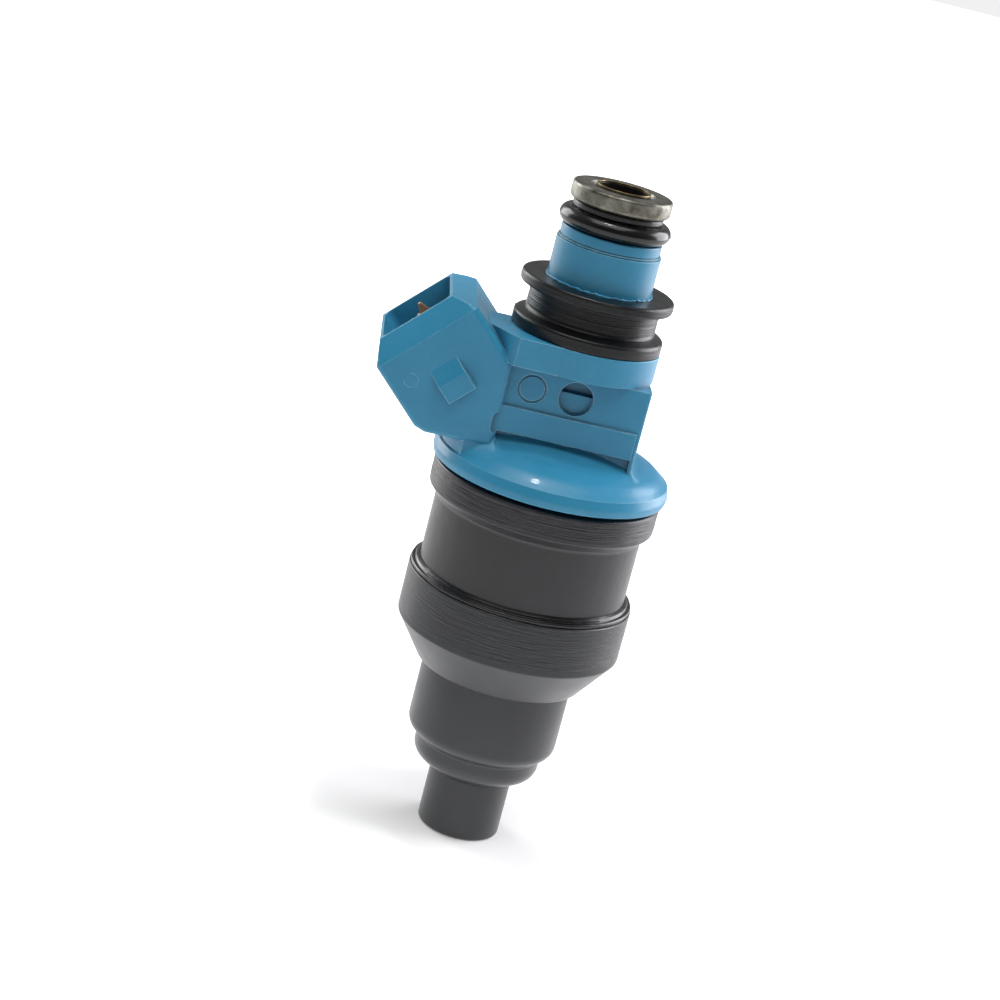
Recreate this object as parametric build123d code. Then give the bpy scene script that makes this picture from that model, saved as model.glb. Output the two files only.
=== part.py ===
"""Top-feed solenoid fuel injector: one STEP file per separate piece.

Millimetres, +Z up the injector's axis, origin at the centre of the nozzle tip's end face.
The connector leans 45 degrees from the axis, towards -X.
"""
import math
import os

from build123d import (
    Align, Axis, Box, Circle, Compound, Cylinder, Helix, Line, Plane, Polyline, Pos, RectangleRounded,
    Rot, ThreePointArc, Torus, Vector, Wire, extrude, export_step, fillet, make_face, revolve, sweep,
)

OUT_DIR = "parts"

# Running and assembly gaps, radial or axial.
FIT_GAP = 0.02
SEAL_GAP = 0.04
GUIDE_GAP = 0.03
LIFT = 0.10
STOP_CLEARANCE = 0.03

# Inlet core: the steel tube that carries fuel down to the armature.
FLANGE_R = 5.23
FLANGE_TOP = 72.36
FLANGE_BOTTOM = 70.57
FLANGE_TOP_ROUND = 0.30
FLANGE_BOTTOM_ROUND = 0.45
CORE_R = 3.85
CORE_BOTTOM = 27.60
INLET_R = 3.36
INLET_SINK_BOTTOM = 71.70
FILTER_BORE_R = 2.87
FILTER_BORE_BOTTOM = 55.5
BORE_TAPER = 1.0
SPRING_BORE_R = 1.90
CORE_DISC_R = 11.02
CORE_DISC_TOP = 40.20
CORE_DISC_BOTTOM = 38.16

# Inlet filter.
FILTER_TOP = 72.55
FILTER_RIM_BORE_R = 2.52
FILTER_RIM_BOTTOM = 70.20
CAGE_R = 2.84
CAGE_BORE_R = 2.30
CAGE_BOTTOM = 58.20
CAGE_END = 0.9
CAGE_WINDOWS = 4
CAGE_WINDOW_ANGLE = 64.0
CAGE_FIRST_ANGLE = 45.0
CAGE_CORE_R = 0.5
CAGE_FIT = 0.10
CAGE_ROUND = 0.3
MESH_R = 2.28
MESH_BORE_R = 2.14

# Seals on the neck.
BACKUP_R = 4.72
BACKUP_TOP = 70.53
BACKUP_BOTTOM = 69.86
BACKUP_TOP_ROUND = 0.20
BACKUP_BOTTOM_ROUND = 0.12
RING_MINOR_R = 0.95
RING_CENTRE_R = 4.90
RING_Z = 68.86

# Moulded connector body, turned part.
LAND_R = 5.25
LAND_TOP = 67.85
GROOVE_TOP = 66.79
GROOVE_BOTTOM = 66.43
GROOVE_R = 5.30
GROOVE_TOP_R = 5.18
GROOVE_RIB_R = 5.38
GROOVE_STEP_LOW = 0.03
GROOVE_STEP = 0.10
GROOVE_STEP_HIGH = 0.13
LAND_ROUND = 0.15
NECK_R = 5.49
COLLAR_R = 7.95
COLLAR_TOP = 56.71
COLLAR_BOTTOM = 53.75
COLLAR_ROUND = 0.12
WAIST_R = 5.60
DOME_ROOT_R = 6.6
DOME_ROOT_Z = 45.25
DOME_ROOT_RISE = 0.6
DOME_MID_R = 9.0
DOME_MID_Z = 44.85
DOME_MID_ROUND = 4.0
DOME_OUT_R = 11.0
DOME_OUT_Z = 44.15
DOME_OUT_ROUND = 3.0
SHOULDER_ROUND = 0.15
SHOULDER_R = 11.85
SHOULDER_Z = 43.48
RIM_TOP_R = 12.38
RIM_TOP_Z = 43.12
RIM_R = 12.68
RIM_Z = 42.13
RIM_BOTTOM_R = 12.50
RIM_BOTTOM_Z = 41.38
RIM_ROUND = 0.8
RIM_BOTTOM_ROUND = 0.2
SPIGOT_R = 10.20

# Moulded connector body, slab between the collar and the dome.
SLAB_HALF_Y = 5.90
SLAB_RIGHT = 7.52
SLAB_LEFT = -8.60
SLAB_BOTTOM = 44.90
SLAB_EDGE = 0.35
PANEL_RIGHT = -2.50
PANEL_HALF_Y = 7.48
WEB_END_X = -10.60
WEB_FRONT_Y = 3.55
WEB_BACK_X = -7.30
WEB_BACK_Y = 1.30
RAIL_BOTTOM = 46.50
RAIL_TOP = 49.26
RAIL_PROUD = 0.35
RAIL_ROOT = 0.50
RAIL_LEFT = -7.58
RAIL_RIGHT = 7.02
RECESS_DEPTH = 0.45
POCKET_X = 0.05
POCKET_Z = 51.42
POCKET_R = 1.77
POCKET_DEPTH = 1.3
POCKET_STEP = 0.55
POCKET_LEDGE = 0.35
EJECTOR_X = -4.54
EJECTOR_Z = 51.47
EJECTOR_R = 1.50
EJECTOR_GROOVE = 0.22
EJECTOR_DEPTH = 0.16

# Moulded connector body, 45 degree shroud. U runs up the plug's axis, V across it, from a point at Z_REF.
Z_REF = 50.0
LEAN = math.sqrt(0.5)
PLUG_V = -8.38
BAND_U = 14.48
BAND_HALF_V = 5.98
BAND_HALF_Y = 6.80
RIM_U = 16.57
FLARE_ANGLE = 39.2
BLOCK_LEFT_U = 7.3
BLOCK_BOTTOM = 44.60
BLOCK_RIGHT = -7.06
BLOCK_ROUND = 0.65
BLOCK_FOOT_X = 1.1
FOOT_LEFT = -12.2
FOOT_HALF_Y = 6.65
FOOT_BOTTOM = 43.0
FOOT_R = 12.1
FOOT_INTO = 0.1
SOCKET_HALF_V = 4.0
SOCKET_HALF_Y = 4.9
SOCKET_CORNER = 0.9
SOCKET_FLOOR_U = 6.6
RAMP_LOW_U = 7.62
RAMP_CREST_U = 9.6
RAMP_HIGH_U = 11.36
RAMP_HALF_V = 1.58
RAMP_RISE = 0.62
RAMP_ROOT = 0.30
NOTCH_X = -7.78
NOTCH_BOTTOM = 46.2
NOTCH_TOP = 48.5
NOTCH_ROUND = 0.6
NOTCH_PAST = 0.5

# Terminals.
PIN_Y = 2.45
BLADE_HALF_V = 1.15
BLADE_THICK = 0.64
BLADE_TIP_U = 16.15
BLADE_TAPER = 2.4
BLADE_TIP_HALF_V = 0.14
BLADE_ROOT_U = 2.6
LEG_X = -7.60
LEG_WIDTH = 0.9
LEG_BOTTOM = 36.9

# Rubber spool between collar and fuel rail.
SPOOL_BORE_R = 5.58
SPOOL_FLANGE_R = 8.02
SPOOL_TOP = 62.32
SPOOL_TOP_FLANGE_BOTTOM = 61.18
SPOOL_WAIST_R = 6.76
SPOOL_WAIST_BOTTOM = 58.64
SPOOL_LOW_FLANGE_TOP = 58.0
SPOOL_BOTTOM = 56.73
SPOOL_LOW_FLANGE_R = 7.91
SPOOL_SMALL_ROUND = 0.15
SPOOL_EDGE_ROUND = 0.20
SPOOL_NECK_ROUND = 0.25
SPOOL_TOP_ROUND = 0.30
SPOOL_SHOULDER_ROUND = 0.35
SPOOL_FOOT_ROUND = 0.50

# Magnet housing.
CRIMP_R = 12.12
CRIMP_TOP = 40.94
CRIMP_BOTTOM = 38.08
CRIMP_LIP_BOTTOM = 40.24
CRIMP_LIP_R = 10.26
BARREL_R = 11.15
BARREL_TOP = 37.05
HOUSING_SPIGOT_R = 10.60
HOUSING_SPIGOT_TOP = 28.90
HOUSING_BOTTOM = 24.30
HOUSING_FLOOR = 26.80
COIL_CAVITY_R = 9.55
BARREL_NECK_ROUND = 0.60
CRIMP_BOTTOM_ROUND = 0.25
CRIMP_TOP_ROUND = 0.20
POLE_BORE_R = 3.95

# Sealing bead over the joint between housing and lower body.
BEAD_TOP = 29.80
BEAD_WAIST_Z = 29.32
BEAD_BOTTOM = 28.90
BEAD_R = 12.05
BEAD_GROOVE_R = 11.65
BEAD_GROOVE_Z = 29.38
BEAD_TOP_R = 11.57
BEAD_TOP_EDGE_Z = 29.62
BEAD_LOW_ROUND = 0.15
BEAD_WAIST_ROUND = 0.20
BEAD_GROOVE_ROUND = 0.08
BEAD_TOP_ROUND = 0.18

# Lower body.
BAND_TOP = 28.88
BAND_R = 12.12
BAND_BOTTOM = 23.40
CONE_R = 8.95
CONE_BOTTOM = 18.90
CONE_FOOT_Z = 18.75
CONE_ROUND = 0.70
NOSE_R = 8.16
NOSE_ROUND = 1.3
NOSE_EDGE_Z = 11.1
LEDGE_R = 7.10
LEDGE_Z = 10.30
LEDGE_ROUND = 0.25
LEDGE_FOOT_Z = 10.02
STEP_R = 6.90
STEP_EDGE_Z = 8.10
STEP_FOOT_R = 4.75
STEP_BOTTOM = 6.72
STEP_ROUND = 1.6
STEP_FOOT_ROUND = 0.15
BAND_BOTTOM_ROUND = 0.30
BAND_TOP_ROUND = 0.12
CUP_R = 10.62
CUP_FLOOR = 24.26
SPACER_BORE_R = 6.60
VALVE_BORE_R = 5.65
VALVE_SEAT_Z = 8.45
SNOUT_BORE_R = 3.36

# Nozzle cap.
TIP_R = 4.50
TIP_TOP = 6.68
TIP_ROUND = 0.35
TIP_BORE_R = 3.34
TIP_FLOOR = 1.05
TIP_HOLE_R = 1.30
TIP_HOLE_FLARE = 0.80
TIP_HOLE_THROAT = 0.5

# Valve body and needle.
VALVE_R = 5.62
VALVE_TOP = 18.00
SNOUT_R = 3.32
SNOUT_BOTTOM = 1.10
GUIDE_BORE_R = 2.00
SAC_Z = 3.2
ORIFICE_R = 0.45
SEAT_TOP_Z = 5.85
VALVE_FOOT_Z = 8.49
VALVE_ROUND = 0.3
VALVE_TOP_ROUND = 0.2
RING_GROOVE_R = 4.72
RING_GROOVE_BOTTOM = 12.4
RING_GROOVE_TOP = 13.9
VALVE_RING_MINOR_R = 0.42
VALVE_RING_Z = 13.15
NEEDLE_GUIDE_R = GUIDE_BORE_R - GUIDE_GAP
NEEDLE_STEM_R = 1.10
NEEDLE_COLLAR_R = 1.90
NEEDLE_TOP = 22.90
NEEDLE_COLLAR_TOP = 17.90
PINTLE_R = 0.36
PINTLE_BOTTOM = 0.6
PINTLE_TOP = 3.55
CONE_TOP_R = 1.30
CONE_TOP = 4.77
LOW_GUIDE_FOOT = 5.4
LOW_GUIDE_BOTTOM = 6.0
LOW_GUIDE_TOP = 7.8
NEEDLE_WAIST_R = 1.35
NEEDLE_WAIST_BOTTOM = 8.3
NEEDLE_WAIST_TOP = 14.2
HIGH_GUIDE_BOTTOM = 14.7
HIGH_GUIDE_TOP = 16.6
NEEDLE_COLLAR_BOTTOM = 16.7

# Stop plate and spacer.
PLATE_R = 5.60
PLATE_BOTTOM = 18.03
PLATE_TOP = 19.20
PLATE_SLOT = 1.45
SPACER_R = 6.56
SPACER_INNER_R = 4.10
SPACER_BOTTOM = 19.24
SPACER_TOP = 24.24

# Armature.
ARMATURE_R = CORE_R
ARMATURE_BOTTOM = 20.20
POLE_CLEARANCE = 0.12
ARMATURE_TOP = CORE_BOTTOM - LIFT - POLE_CLEARANCE
ARMATURE_BOTTOM_ROUND = 0.20
ARMATURE_TOP_ROUND = 0.15
FUEL_HOLE_R = 0.45
FUEL_HOLE_X = 2.75
ARMATURE_CUP_R = 2.02
ARMATURE_CUP_FLOOR = 24.40
NEEDLE_SOCKET_R = 1.12

# Return spring and adjusting tube.
SPRING_TOP = 33.00
SPRING_WIRE_R = 0.21
SPRING_MEAN_R = 1.52
SPRING_TURNS = 7
TUBE_R = 1.88
TUBE_BORE_R = 1.15
TUBE_TOP = 47.0
TUBE_BOTTOM_ROUND = 0.15
TUBE_TOP_ROUND = 0.25

# Coil.
BOBBIN_BORE_R = 3.92
BOBBIN_DRUM_R = 4.90
BOBBIN_FLANGE_R = 9.40
BOBBIN_BOTTOM = 26.88
BOBBIN_LOW_FLANGE_TOP = 28.10
BOBBIN_TOP_FLANGE_BOTTOM = 36.70
BOBBIN_TOP = 38.10
WINDING_R = 8.70
RISER_R = 1.20
RISER_TOP = 41.90
RISER_ROOT = 0.5
RISER_HOLE_R = 1.30
BOBBIN_RING_MINOR_R = 0.40
BOBBIN_RING_R = 6.00
BOBBIN_LOW_RING_R = 8.20

FULL_TURN = 360.0
CLEAR = 1.0
LONG = 60.0
TOUCH = 1e-3


def turned(points):
    """Solid of revolution about Z. Each point is (r, z) or (r, z, corner radius)."""
    corners = [(p[0], p[1], p[2] if len(p) > 2 else 0.0) for p in points]
    count = len(corners)
    edges = []
    starts = []
    ends = []
    mids = []
    for i, (r, z, rho) in enumerate(corners):
        here = Vector(r, 0, z)
        before = Vector(corners[i - 1][0], 0, corners[i - 1][1])
        after = Vector(corners[(i + 1) % count][0], 0, corners[(i + 1) % count][1])
        if rho <= 0:
            starts.append(here)
            ends.append(here)
            mids.append(None)
            continue
        back = (before - here).normalized()
        on = (after - here).normalized()
        half = math.radians(back.get_angle(on)) / 2
        reach = rho / math.tan(half)
        centre = here + (back + on).normalized() * (rho / math.sin(half))
        starts.append(here + back * reach)
        ends.append(here + on * reach)
        mids.append(centre - (back + on).normalized() * rho)
    for i in range(count):
        if mids[i] is not None:
            edges.append(ThreePointArc(starts[i], mids[i], ends[i]))
        nxt = (i + 1) % count
        if (starts[nxt] - ends[i]).length > 1e-6:
            edges.append(Line(ends[i], starts[nxt]))
    face = make_face(Wire(edges))
    return revolve(face, Axis.Z, FULL_TURN)


def tube(outer, inner, low, high):
    """Plain ring between two radii and two heights."""
    return turned([(inner, low), (outer, low), (outer, high), (inner, high)])


def rod(radius, low, high, x=0.0, y=0.0):
    """Solid round rod along Z."""
    shape = Cylinder(radius, high - low, align=(Align.CENTER, Align.CENTER, Align.MIN))
    return Pos(x, y, low) * shape


def block(x0, x1, y0, y1, z0, z1):
    """Box between two corners."""
    centre = Pos((x0 + x1) / 2, (y0 + y1) / 2, (z0 + z1) / 2)
    return centre * Box(x1 - x0, y1 - y0, z1 - z0)


def at_uv(u, v):
    """(x, z) of a point given along and across the plug's axis."""
    return (-u * LEAN + v * LEAN, Z_REF + u * LEAN + v * LEAN)


def plug_plane(u):
    """Plane square to the plug's axis, its x across the plug and its y along the injector's Y."""
    x, z = at_uv(u, PLUG_V)
    return Plane(origin=(x, 0, z), x_dir=(LEAN, 0, LEAN), z_dir=(-LEAN, 0, LEAN))


def prism(outline, half_y):
    """Prism from an (x, z) outline, both ways from the middle plane."""
    points = [Vector(x, 0, z) for x, z in outline]
    face = make_face(Polyline(*points, close=True))
    return extrude(face, half_y, dir=(0, 1, 0), both=True)


def o_ring(centre_r, minor_r, z):
    """Round-section ring."""
    return Pos(0, 0, z) * Torus(centre_r, minor_r)


def inlet_core():
    """Steel inlet tube with its rail flange, its magnet disc and its stepped bore."""
    body = turned([
        (SPRING_BORE_R, CORE_BOTTOM),
        (CORE_R, CORE_BOTTOM),
        (CORE_R, CORE_DISC_BOTTOM),
        (CORE_DISC_R, CORE_DISC_BOTTOM),
        (CORE_DISC_R, CORE_DISC_TOP),
        (CORE_R, CORE_DISC_TOP),
        (CORE_R, FLANGE_BOTTOM),
        (FLANGE_R, FLANGE_BOTTOM, FLANGE_BOTTOM_ROUND),
        (FLANGE_R, FLANGE_TOP, FLANGE_TOP_ROUND),
        (INLET_R, FLANGE_TOP),
        (FILTER_BORE_R, INLET_SINK_BOTTOM),
        (FILTER_BORE_R, FILTER_BORE_BOTTOM),
        (SPRING_BORE_R, FILTER_BORE_BOTTOM - BORE_TAPER),
    ])
    for y in (-PIN_Y, PIN_Y):
        body -= rod(RISER_HOLE_R, CORE_DISC_BOTTOM - CLEAR, CORE_DISC_TOP + CLEAR, LEG_X, y)
    return body


def filter_rim():
    """Thin metal rim that holds the filter in the inlet."""
    return tube(CAGE_R, FILTER_RIM_BORE_R, FILTER_RIM_BOTTOM, FILTER_TOP)


def filter_cage():
    """Plastic filter basket with open windows."""
    top = FILTER_RIM_BOTTOM - FIT_GAP
    cage = turned([
        (0, CAGE_BOTTOM),
        (CAGE_R - CAGE_FIT, CAGE_BOTTOM, CAGE_ROUND),
        (CAGE_R - CAGE_FIT, top),
        (CAGE_BORE_R, top),
        (CAGE_BORE_R, CAGE_BOTTOM + CAGE_END),
        (0, CAGE_BOTTOM + CAGE_END),
    ])
    low = CAGE_BOTTOM + 2 * CAGE_END
    high = top - CAGE_END
    for i in range(CAGE_WINDOWS):
        wedge = window_wedge(CAGE_WINDOW_ANGLE, low, high)
        cage -= Rot(0, 0, i * FULL_TURN / CAGE_WINDOWS + CAGE_FIRST_ANGLE) * wedge
    return cage


def window_wedge(angle, low, high):
    """Radial wedge that opens one window of the filter basket."""
    half = math.radians(angle / 2)
    reach = 2 * CAGE_R
    start = CAGE_CORE_R
    points = [
        Vector(start * math.cos(half), -start * math.sin(half), low),
        Vector(reach * math.cos(half), -reach * math.sin(half), low),
        Vector(reach * math.cos(half), reach * math.sin(half), low),
        Vector(start * math.cos(half), start * math.sin(half), low),
    ]
    return extrude(make_face(Polyline(*points, close=True)), high - low, dir=(0, 0, 1))


def filter_mesh():
    """Fine gauze sleeve inside the basket."""
    low = CAGE_BOTTOM + CAGE_END + FIT_GAP
    high = FILTER_RIM_BOTTOM - CAGE_END
    return tube(MESH_R, MESH_BORE_R, low, high)


def backup_ring():
    """Hard black ring between the rail flange and the upper seal."""
    return turned([
        (CORE_R + SEAL_GAP, BACKUP_BOTTOM),
        (BACKUP_R, BACKUP_BOTTOM, BACKUP_BOTTOM_ROUND),
        (BACKUP_R, BACKUP_TOP, BACKUP_TOP_ROUND),
        (CORE_R + SEAL_GAP, BACKUP_TOP),
    ])


def turned_moulding():
    """Round parts of the connector body: neck, collar, waist, dome and rim."""
    bore = CORE_R + FIT_GAP
    return turned([
        (bore, CORE_DISC_TOP + FIT_GAP),
        (SPIGOT_R, CORE_DISC_TOP + FIT_GAP),
        (SPIGOT_R, RIM_BOTTOM_Z),
        (RIM_BOTTOM_R, RIM_BOTTOM_Z, RIM_BOTTOM_ROUND),
        (RIM_R, RIM_Z, RIM_ROUND),
        (RIM_TOP_R, RIM_TOP_Z),
        (SHOULDER_R, SHOULDER_Z, SHOULDER_ROUND),
        (DOME_OUT_R, DOME_OUT_Z, DOME_OUT_ROUND),
        (DOME_MID_R, DOME_MID_Z, DOME_MID_ROUND),
        (DOME_ROOT_R, DOME_ROOT_Z),
        (WAIST_R, DOME_ROOT_Z + DOME_ROOT_RISE),
        (WAIST_R, COLLAR_BOTTOM),
        (COLLAR_R, COLLAR_BOTTOM, COLLAR_ROUND),
        (COLLAR_R, COLLAR_TOP, COLLAR_ROUND),
        (NECK_R, COLLAR_TOP),
        (NECK_R, GROOVE_BOTTOM),
        (GROOVE_R, GROOVE_BOTTOM + GROOVE_STEP_LOW),
        (GROOVE_R, GROOVE_BOTTOM + GROOVE_STEP),
        (GROOVE_RIB_R, GROOVE_BOTTOM + GROOVE_STEP_HIGH),
        (GROOVE_RIB_R, GROOVE_TOP - GROOVE_STEP_HIGH),
        (GROOVE_TOP_R, GROOVE_TOP - GROOVE_STEP),
        (GROOVE_TOP_R, GROOVE_TOP - GROOVE_STEP_LOW),
        (LAND_R, GROOVE_TOP),
        (LAND_R, LAND_TOP, LAND_ROUND),
        (bore, LAND_TOP),
    ])


def slab():
    """Flat-sided slab under the collar, with its raised rails, panel and web to the plug."""
    core = block(SLAB_LEFT, SLAB_RIGHT, -SLAB_HALF_Y, SLAB_HALF_Y, SLAB_BOTTOM, COLLAR_BOTTOM)
    core = fillet(core.edges().filter_by(Axis.Z).group_by(Axis.X)[-1], SLAB_EDGE)
    web = prism_plan([
        (PANEL_RIGHT, -PANEL_HALF_Y),
        (BLOCK_RIGHT, -PANEL_HALF_Y),
        (WEB_END_X, -WEB_FRONT_Y),
        (WEB_END_X, WEB_BACK_Y),
        (WEB_BACK_X, WEB_BACK_Y),
        (WEB_BACK_X, PANEL_HALF_Y),
        (PANEL_RIGHT, PANEL_HALF_Y),
    ], COLLAR_BOTTOM, COLLAR_TOP)
    shape = core + web
    for side in (-1, 1):
        outer = side * (SLAB_HALF_Y + RAIL_PROUD)
        inner = side * (SLAB_HALF_Y - RAIL_ROOT)
        y0, y1 = sorted((outer, inner))
        shape += block(RAIL_LEFT, RAIL_RIGHT, y0, y1, RAIL_BOTTOM, RAIL_TOP)
        deep = side * (SLAB_HALF_Y - RECESS_DEPTH)
        y0, y1 = sorted((side * (SLAB_HALF_Y + CLEAR), deep))
        shape -= block(SLAB_LEFT - CLEAR, RAIL_RIGHT, y0, y1, SLAB_BOTTOM - CLEAR, RAIL_BOTTOM)
    return shape


def prism_plan(outline, low, high):
    """Prism from an (x, y) outline between two heights."""
    points = [Vector(x, y, low) for x, y in outline]
    return extrude(make_face(Polyline(*points, close=True)), high - low, dir=(0, 0, 1))


def shroud():
    """45 degree plug shroud as a solid block with its flared rim."""
    low_v = PLUG_V - BAND_HALF_V
    high_v = PLUG_V + BAND_HALF_V
    left = at_uv(BLOCK_LEFT_U, low_v)
    outline = [
        at_uv(BAND_U, low_v),
        left,
        (left[0] + BLOCK_FOOT_X, BLOCK_BOTTOM),
        (BLOCK_RIGHT, BLOCK_BOTTOM),
        at_uv(high_v - BLOCK_RIGHT / LEAN, high_v),
        at_uv(BAND_U, high_v),
    ]
    base = prism(outline, BAND_HALF_Y)
    section = plug_plane(BAND_U) * RectangleRounded(2 * BAND_HALF_V, 2 * BAND_HALF_Y, BLOCK_ROUND)
    flare = extrude(section, RIM_U - BAND_U, taper=FLARE_ANGLE)
    rims = base.edges().filter_by(lambda e: abs(abs(e.center().Y) - BAND_HALF_Y) < TOUCH)
    mouth = plug_plane(BAND_U)
    rims = [e for e in rims if abs(mouth.to_local_coords(e.center()).Z) > TOUCH]
    base = fillet(rims, BLOCK_ROUND)
    return base + flare


def shroud_foot():
    """Web under the shroud that stands it on the dome."""
    top = BLOCK_BOTTOM + BLOCK_ROUND + FOOT_INTO
    web = block(FOOT_LEFT, BLOCK_RIGHT, -FOOT_HALF_Y, FOOT_HALF_Y, FOOT_BOTTOM, top)
    return web & rod(FOOT_R, FOOT_BOTTOM - CLEAR, top + CLEAR)


def socket_space():
    """Hollow of the socket, open past the rim."""
    section = plug_plane(SOCKET_FLOOR_U) * RectangleRounded(2 * SOCKET_HALF_V, 2 * SOCKET_HALF_Y, SOCKET_CORNER)
    return extrude(section, RIM_U - SOCKET_FLOOR_U + CLEAR)


def latch_ramp(side):
    """Wedge with a flat crest that a plug's latch climbs, on one face of the shroud."""
    low = at_uv(RAMP_LOW_U, PLUG_V - RAMP_HALF_V)
    skin = side * (BAND_HALF_Y - RAMP_ROOT)
    flat = side * BAND_HALF_Y
    peak = side * (BAND_HALF_Y + RAMP_RISE)
    x0, z0 = low
    x1, z1 = at_uv(RAMP_HIGH_U, PLUG_V - RAMP_HALF_V)
    xc, zc = at_uv(RAMP_CREST_U, PLUG_V - RAMP_HALF_V)
    points = [
        Vector(x0, skin, z0),
        Vector(x1, skin, z1),
        Vector(x1, flat, z1),
        Vector(xc, peak, zc),
        Vector(x0, peak, z0),
    ]
    face = make_face(Polyline(*points, close=True))
    return extrude(face, 2 * RAMP_HALF_V, dir=(LEAN, 0, LEAN))


def terminal(y, grow=0.0):
    """Flat blade in the socket with its leg down to the coil. grow makes the hollow it is moulded into."""
    outline = [
        (BLADE_ROOT_U, -BLADE_HALF_V - grow),
        (BLADE_TIP_U - BLADE_TAPER, -BLADE_HALF_V - grow),
        (BLADE_TIP_U, -BLADE_TIP_HALF_V - grow),
        (BLADE_TIP_U, BLADE_TIP_HALF_V + grow),
        (BLADE_TIP_U - BLADE_TAPER, BLADE_HALF_V + grow),
        (BLADE_ROOT_U, BLADE_HALF_V + grow),
    ]
    half = BLADE_THICK / 2 + grow
    blade = Pos(0, y, 0) * prism([at_uv(u, PLUG_V + v) for u, v in outline], half)
    _, root_z = at_uv(BLADE_ROOT_U, PLUG_V)
    low = LEG_BOTTOM - 2 * grow
    leg = block(LEG_X - LEG_WIDTH / 2 - grow, LEG_X + LEG_WIDTH / 2 + grow, y - half, y + half, low, root_z)
    return blade + leg


def connector_body():
    """Moulded body: neck, collar, slab, dome and plug shroud in one piece."""
    body = turned_moulding() + slab() + shroud() + shroud_foot()
    for side in (-1, 1):
        body += latch_ramp(side)
    body -= rod(CORE_R + FIT_GAP, CORE_DISC_TOP - CLEAR, LAND_TOP + CLEAR)
    body -= socket_space()
    body -= front_details()
    for y in (-PIN_Y, PIN_Y):
        body -= terminal(y, FIT_GAP)
        body -= rod(RISER_R + FIT_GAP, CORE_DISC_TOP - CLEAR, RISER_TOP + FIT_GAP, LEG_X, y)
    return body


def front_details():
    """Round pocket, ejector ring and rail notch cut into both flat sides."""
    cuts = []
    for side in (-1, 1):
        face_y = side * SLAB_HALF_Y
        cuts.append(sideways_rod(POCKET_X, POCKET_Z, POCKET_R, face_y, side, POCKET_STEP))
        low = sideways_rod(POCKET_X, POCKET_Z, POCKET_R, face_y, side, POCKET_DEPTH)
        top_half = block(-LONG, LONG, -LONG, LONG, POCKET_Z + POCKET_LEDGE, POCKET_Z + LONG)
        cuts.append(low & top_half)
        ring = sideways_rod(EJECTOR_X, EJECTOR_Z, EJECTOR_R, face_y, side, EJECTOR_DEPTH)
        plug = sideways_rod(EJECTOR_X, EJECTOR_Z, EJECTOR_R - EJECTOR_GROOVE, face_y, side, LONG)
        cuts.append(ring - plug)
        deep = side * (SLAB_HALF_Y + RAIL_PROUD)
        y0, y1 = sorted((side * (BAND_HALF_Y + CLEAR), deep))
        notch = block(NOTCH_X, BLOCK_RIGHT + NOTCH_PAST, y0, y1, NOTCH_BOTTOM, NOTCH_TOP)
        cuts.append(fillet(notch.edges().filter_by(Axis.Y).group_by(Axis.X)[0], NOTCH_ROUND))
    return Compound(children=flatten(cuts))


def flatten(shapes):
    """Plain list of solids from a list of shapes."""
    solids = []
    for shape in shapes:
        solids.extend(shape.solids())
    return solids


def sideways_rod(x, z, radius, face_y, side, depth):
    """Rod along Y from depth inside a flat side to just outside it."""
    length = depth + CLEAR
    centre_y = face_y + side * (CLEAR - depth) / 2
    return Pos(x, centre_y, z) * (Rot(FULL_TURN / 4, 0, 0) * Cylinder(radius, length))


def grommet():
    """Rubber spool that cushions the rail."""
    return turned([
        (SPOOL_BORE_R, SPOOL_BOTTOM),
        (SPOOL_LOW_FLANGE_R, SPOOL_BOTTOM, SPOOL_SMALL_ROUND),
        (SPOOL_LOW_FLANGE_R, SPOOL_LOW_FLANGE_TOP, SPOOL_SHOULDER_ROUND),
        (SPOOL_WAIST_R, SPOOL_WAIST_BOTTOM, SPOOL_FOOT_ROUND),
        (SPOOL_WAIST_R, SPOOL_TOP_FLANGE_BOTTOM, SPOOL_NECK_ROUND),
        (SPOOL_FLANGE_R, SPOOL_TOP_FLANGE_BOTTOM, SPOOL_EDGE_ROUND),
        (SPOOL_FLANGE_R, SPOOL_TOP, SPOOL_TOP_ROUND),
        (SPOOL_BORE_R, SPOOL_TOP),
    ])


def housing_shell():
    """Steel magnet housing, crimped over the core's disc."""
    return turned([
        (POLE_BORE_R, HOUSING_BOTTOM),
        (HOUSING_SPIGOT_R, HOUSING_BOTTOM),
        (HOUSING_SPIGOT_R, HOUSING_SPIGOT_TOP),
        (BARREL_R, HOUSING_SPIGOT_TOP),
        (BARREL_R, BARREL_TOP, BARREL_NECK_ROUND),
        (CRIMP_R, CRIMP_BOTTOM, CRIMP_BOTTOM_ROUND),
        (CRIMP_R, CRIMP_TOP, CRIMP_TOP_ROUND),
        (CRIMP_LIP_R, CRIMP_TOP),
        (CRIMP_LIP_R, CRIMP_LIP_BOTTOM),
        (CORE_DISC_R + FIT_GAP, CRIMP_LIP_BOTTOM),
        (CORE_DISC_R + FIT_GAP, CORE_DISC_BOTTOM - FIT_GAP),
        (COIL_CAVITY_R, CORE_DISC_BOTTOM - FIT_GAP),
        (COIL_CAVITY_R, HOUSING_FLOOR),
        (POLE_BORE_R, HOUSING_FLOOR),
    ])


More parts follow.
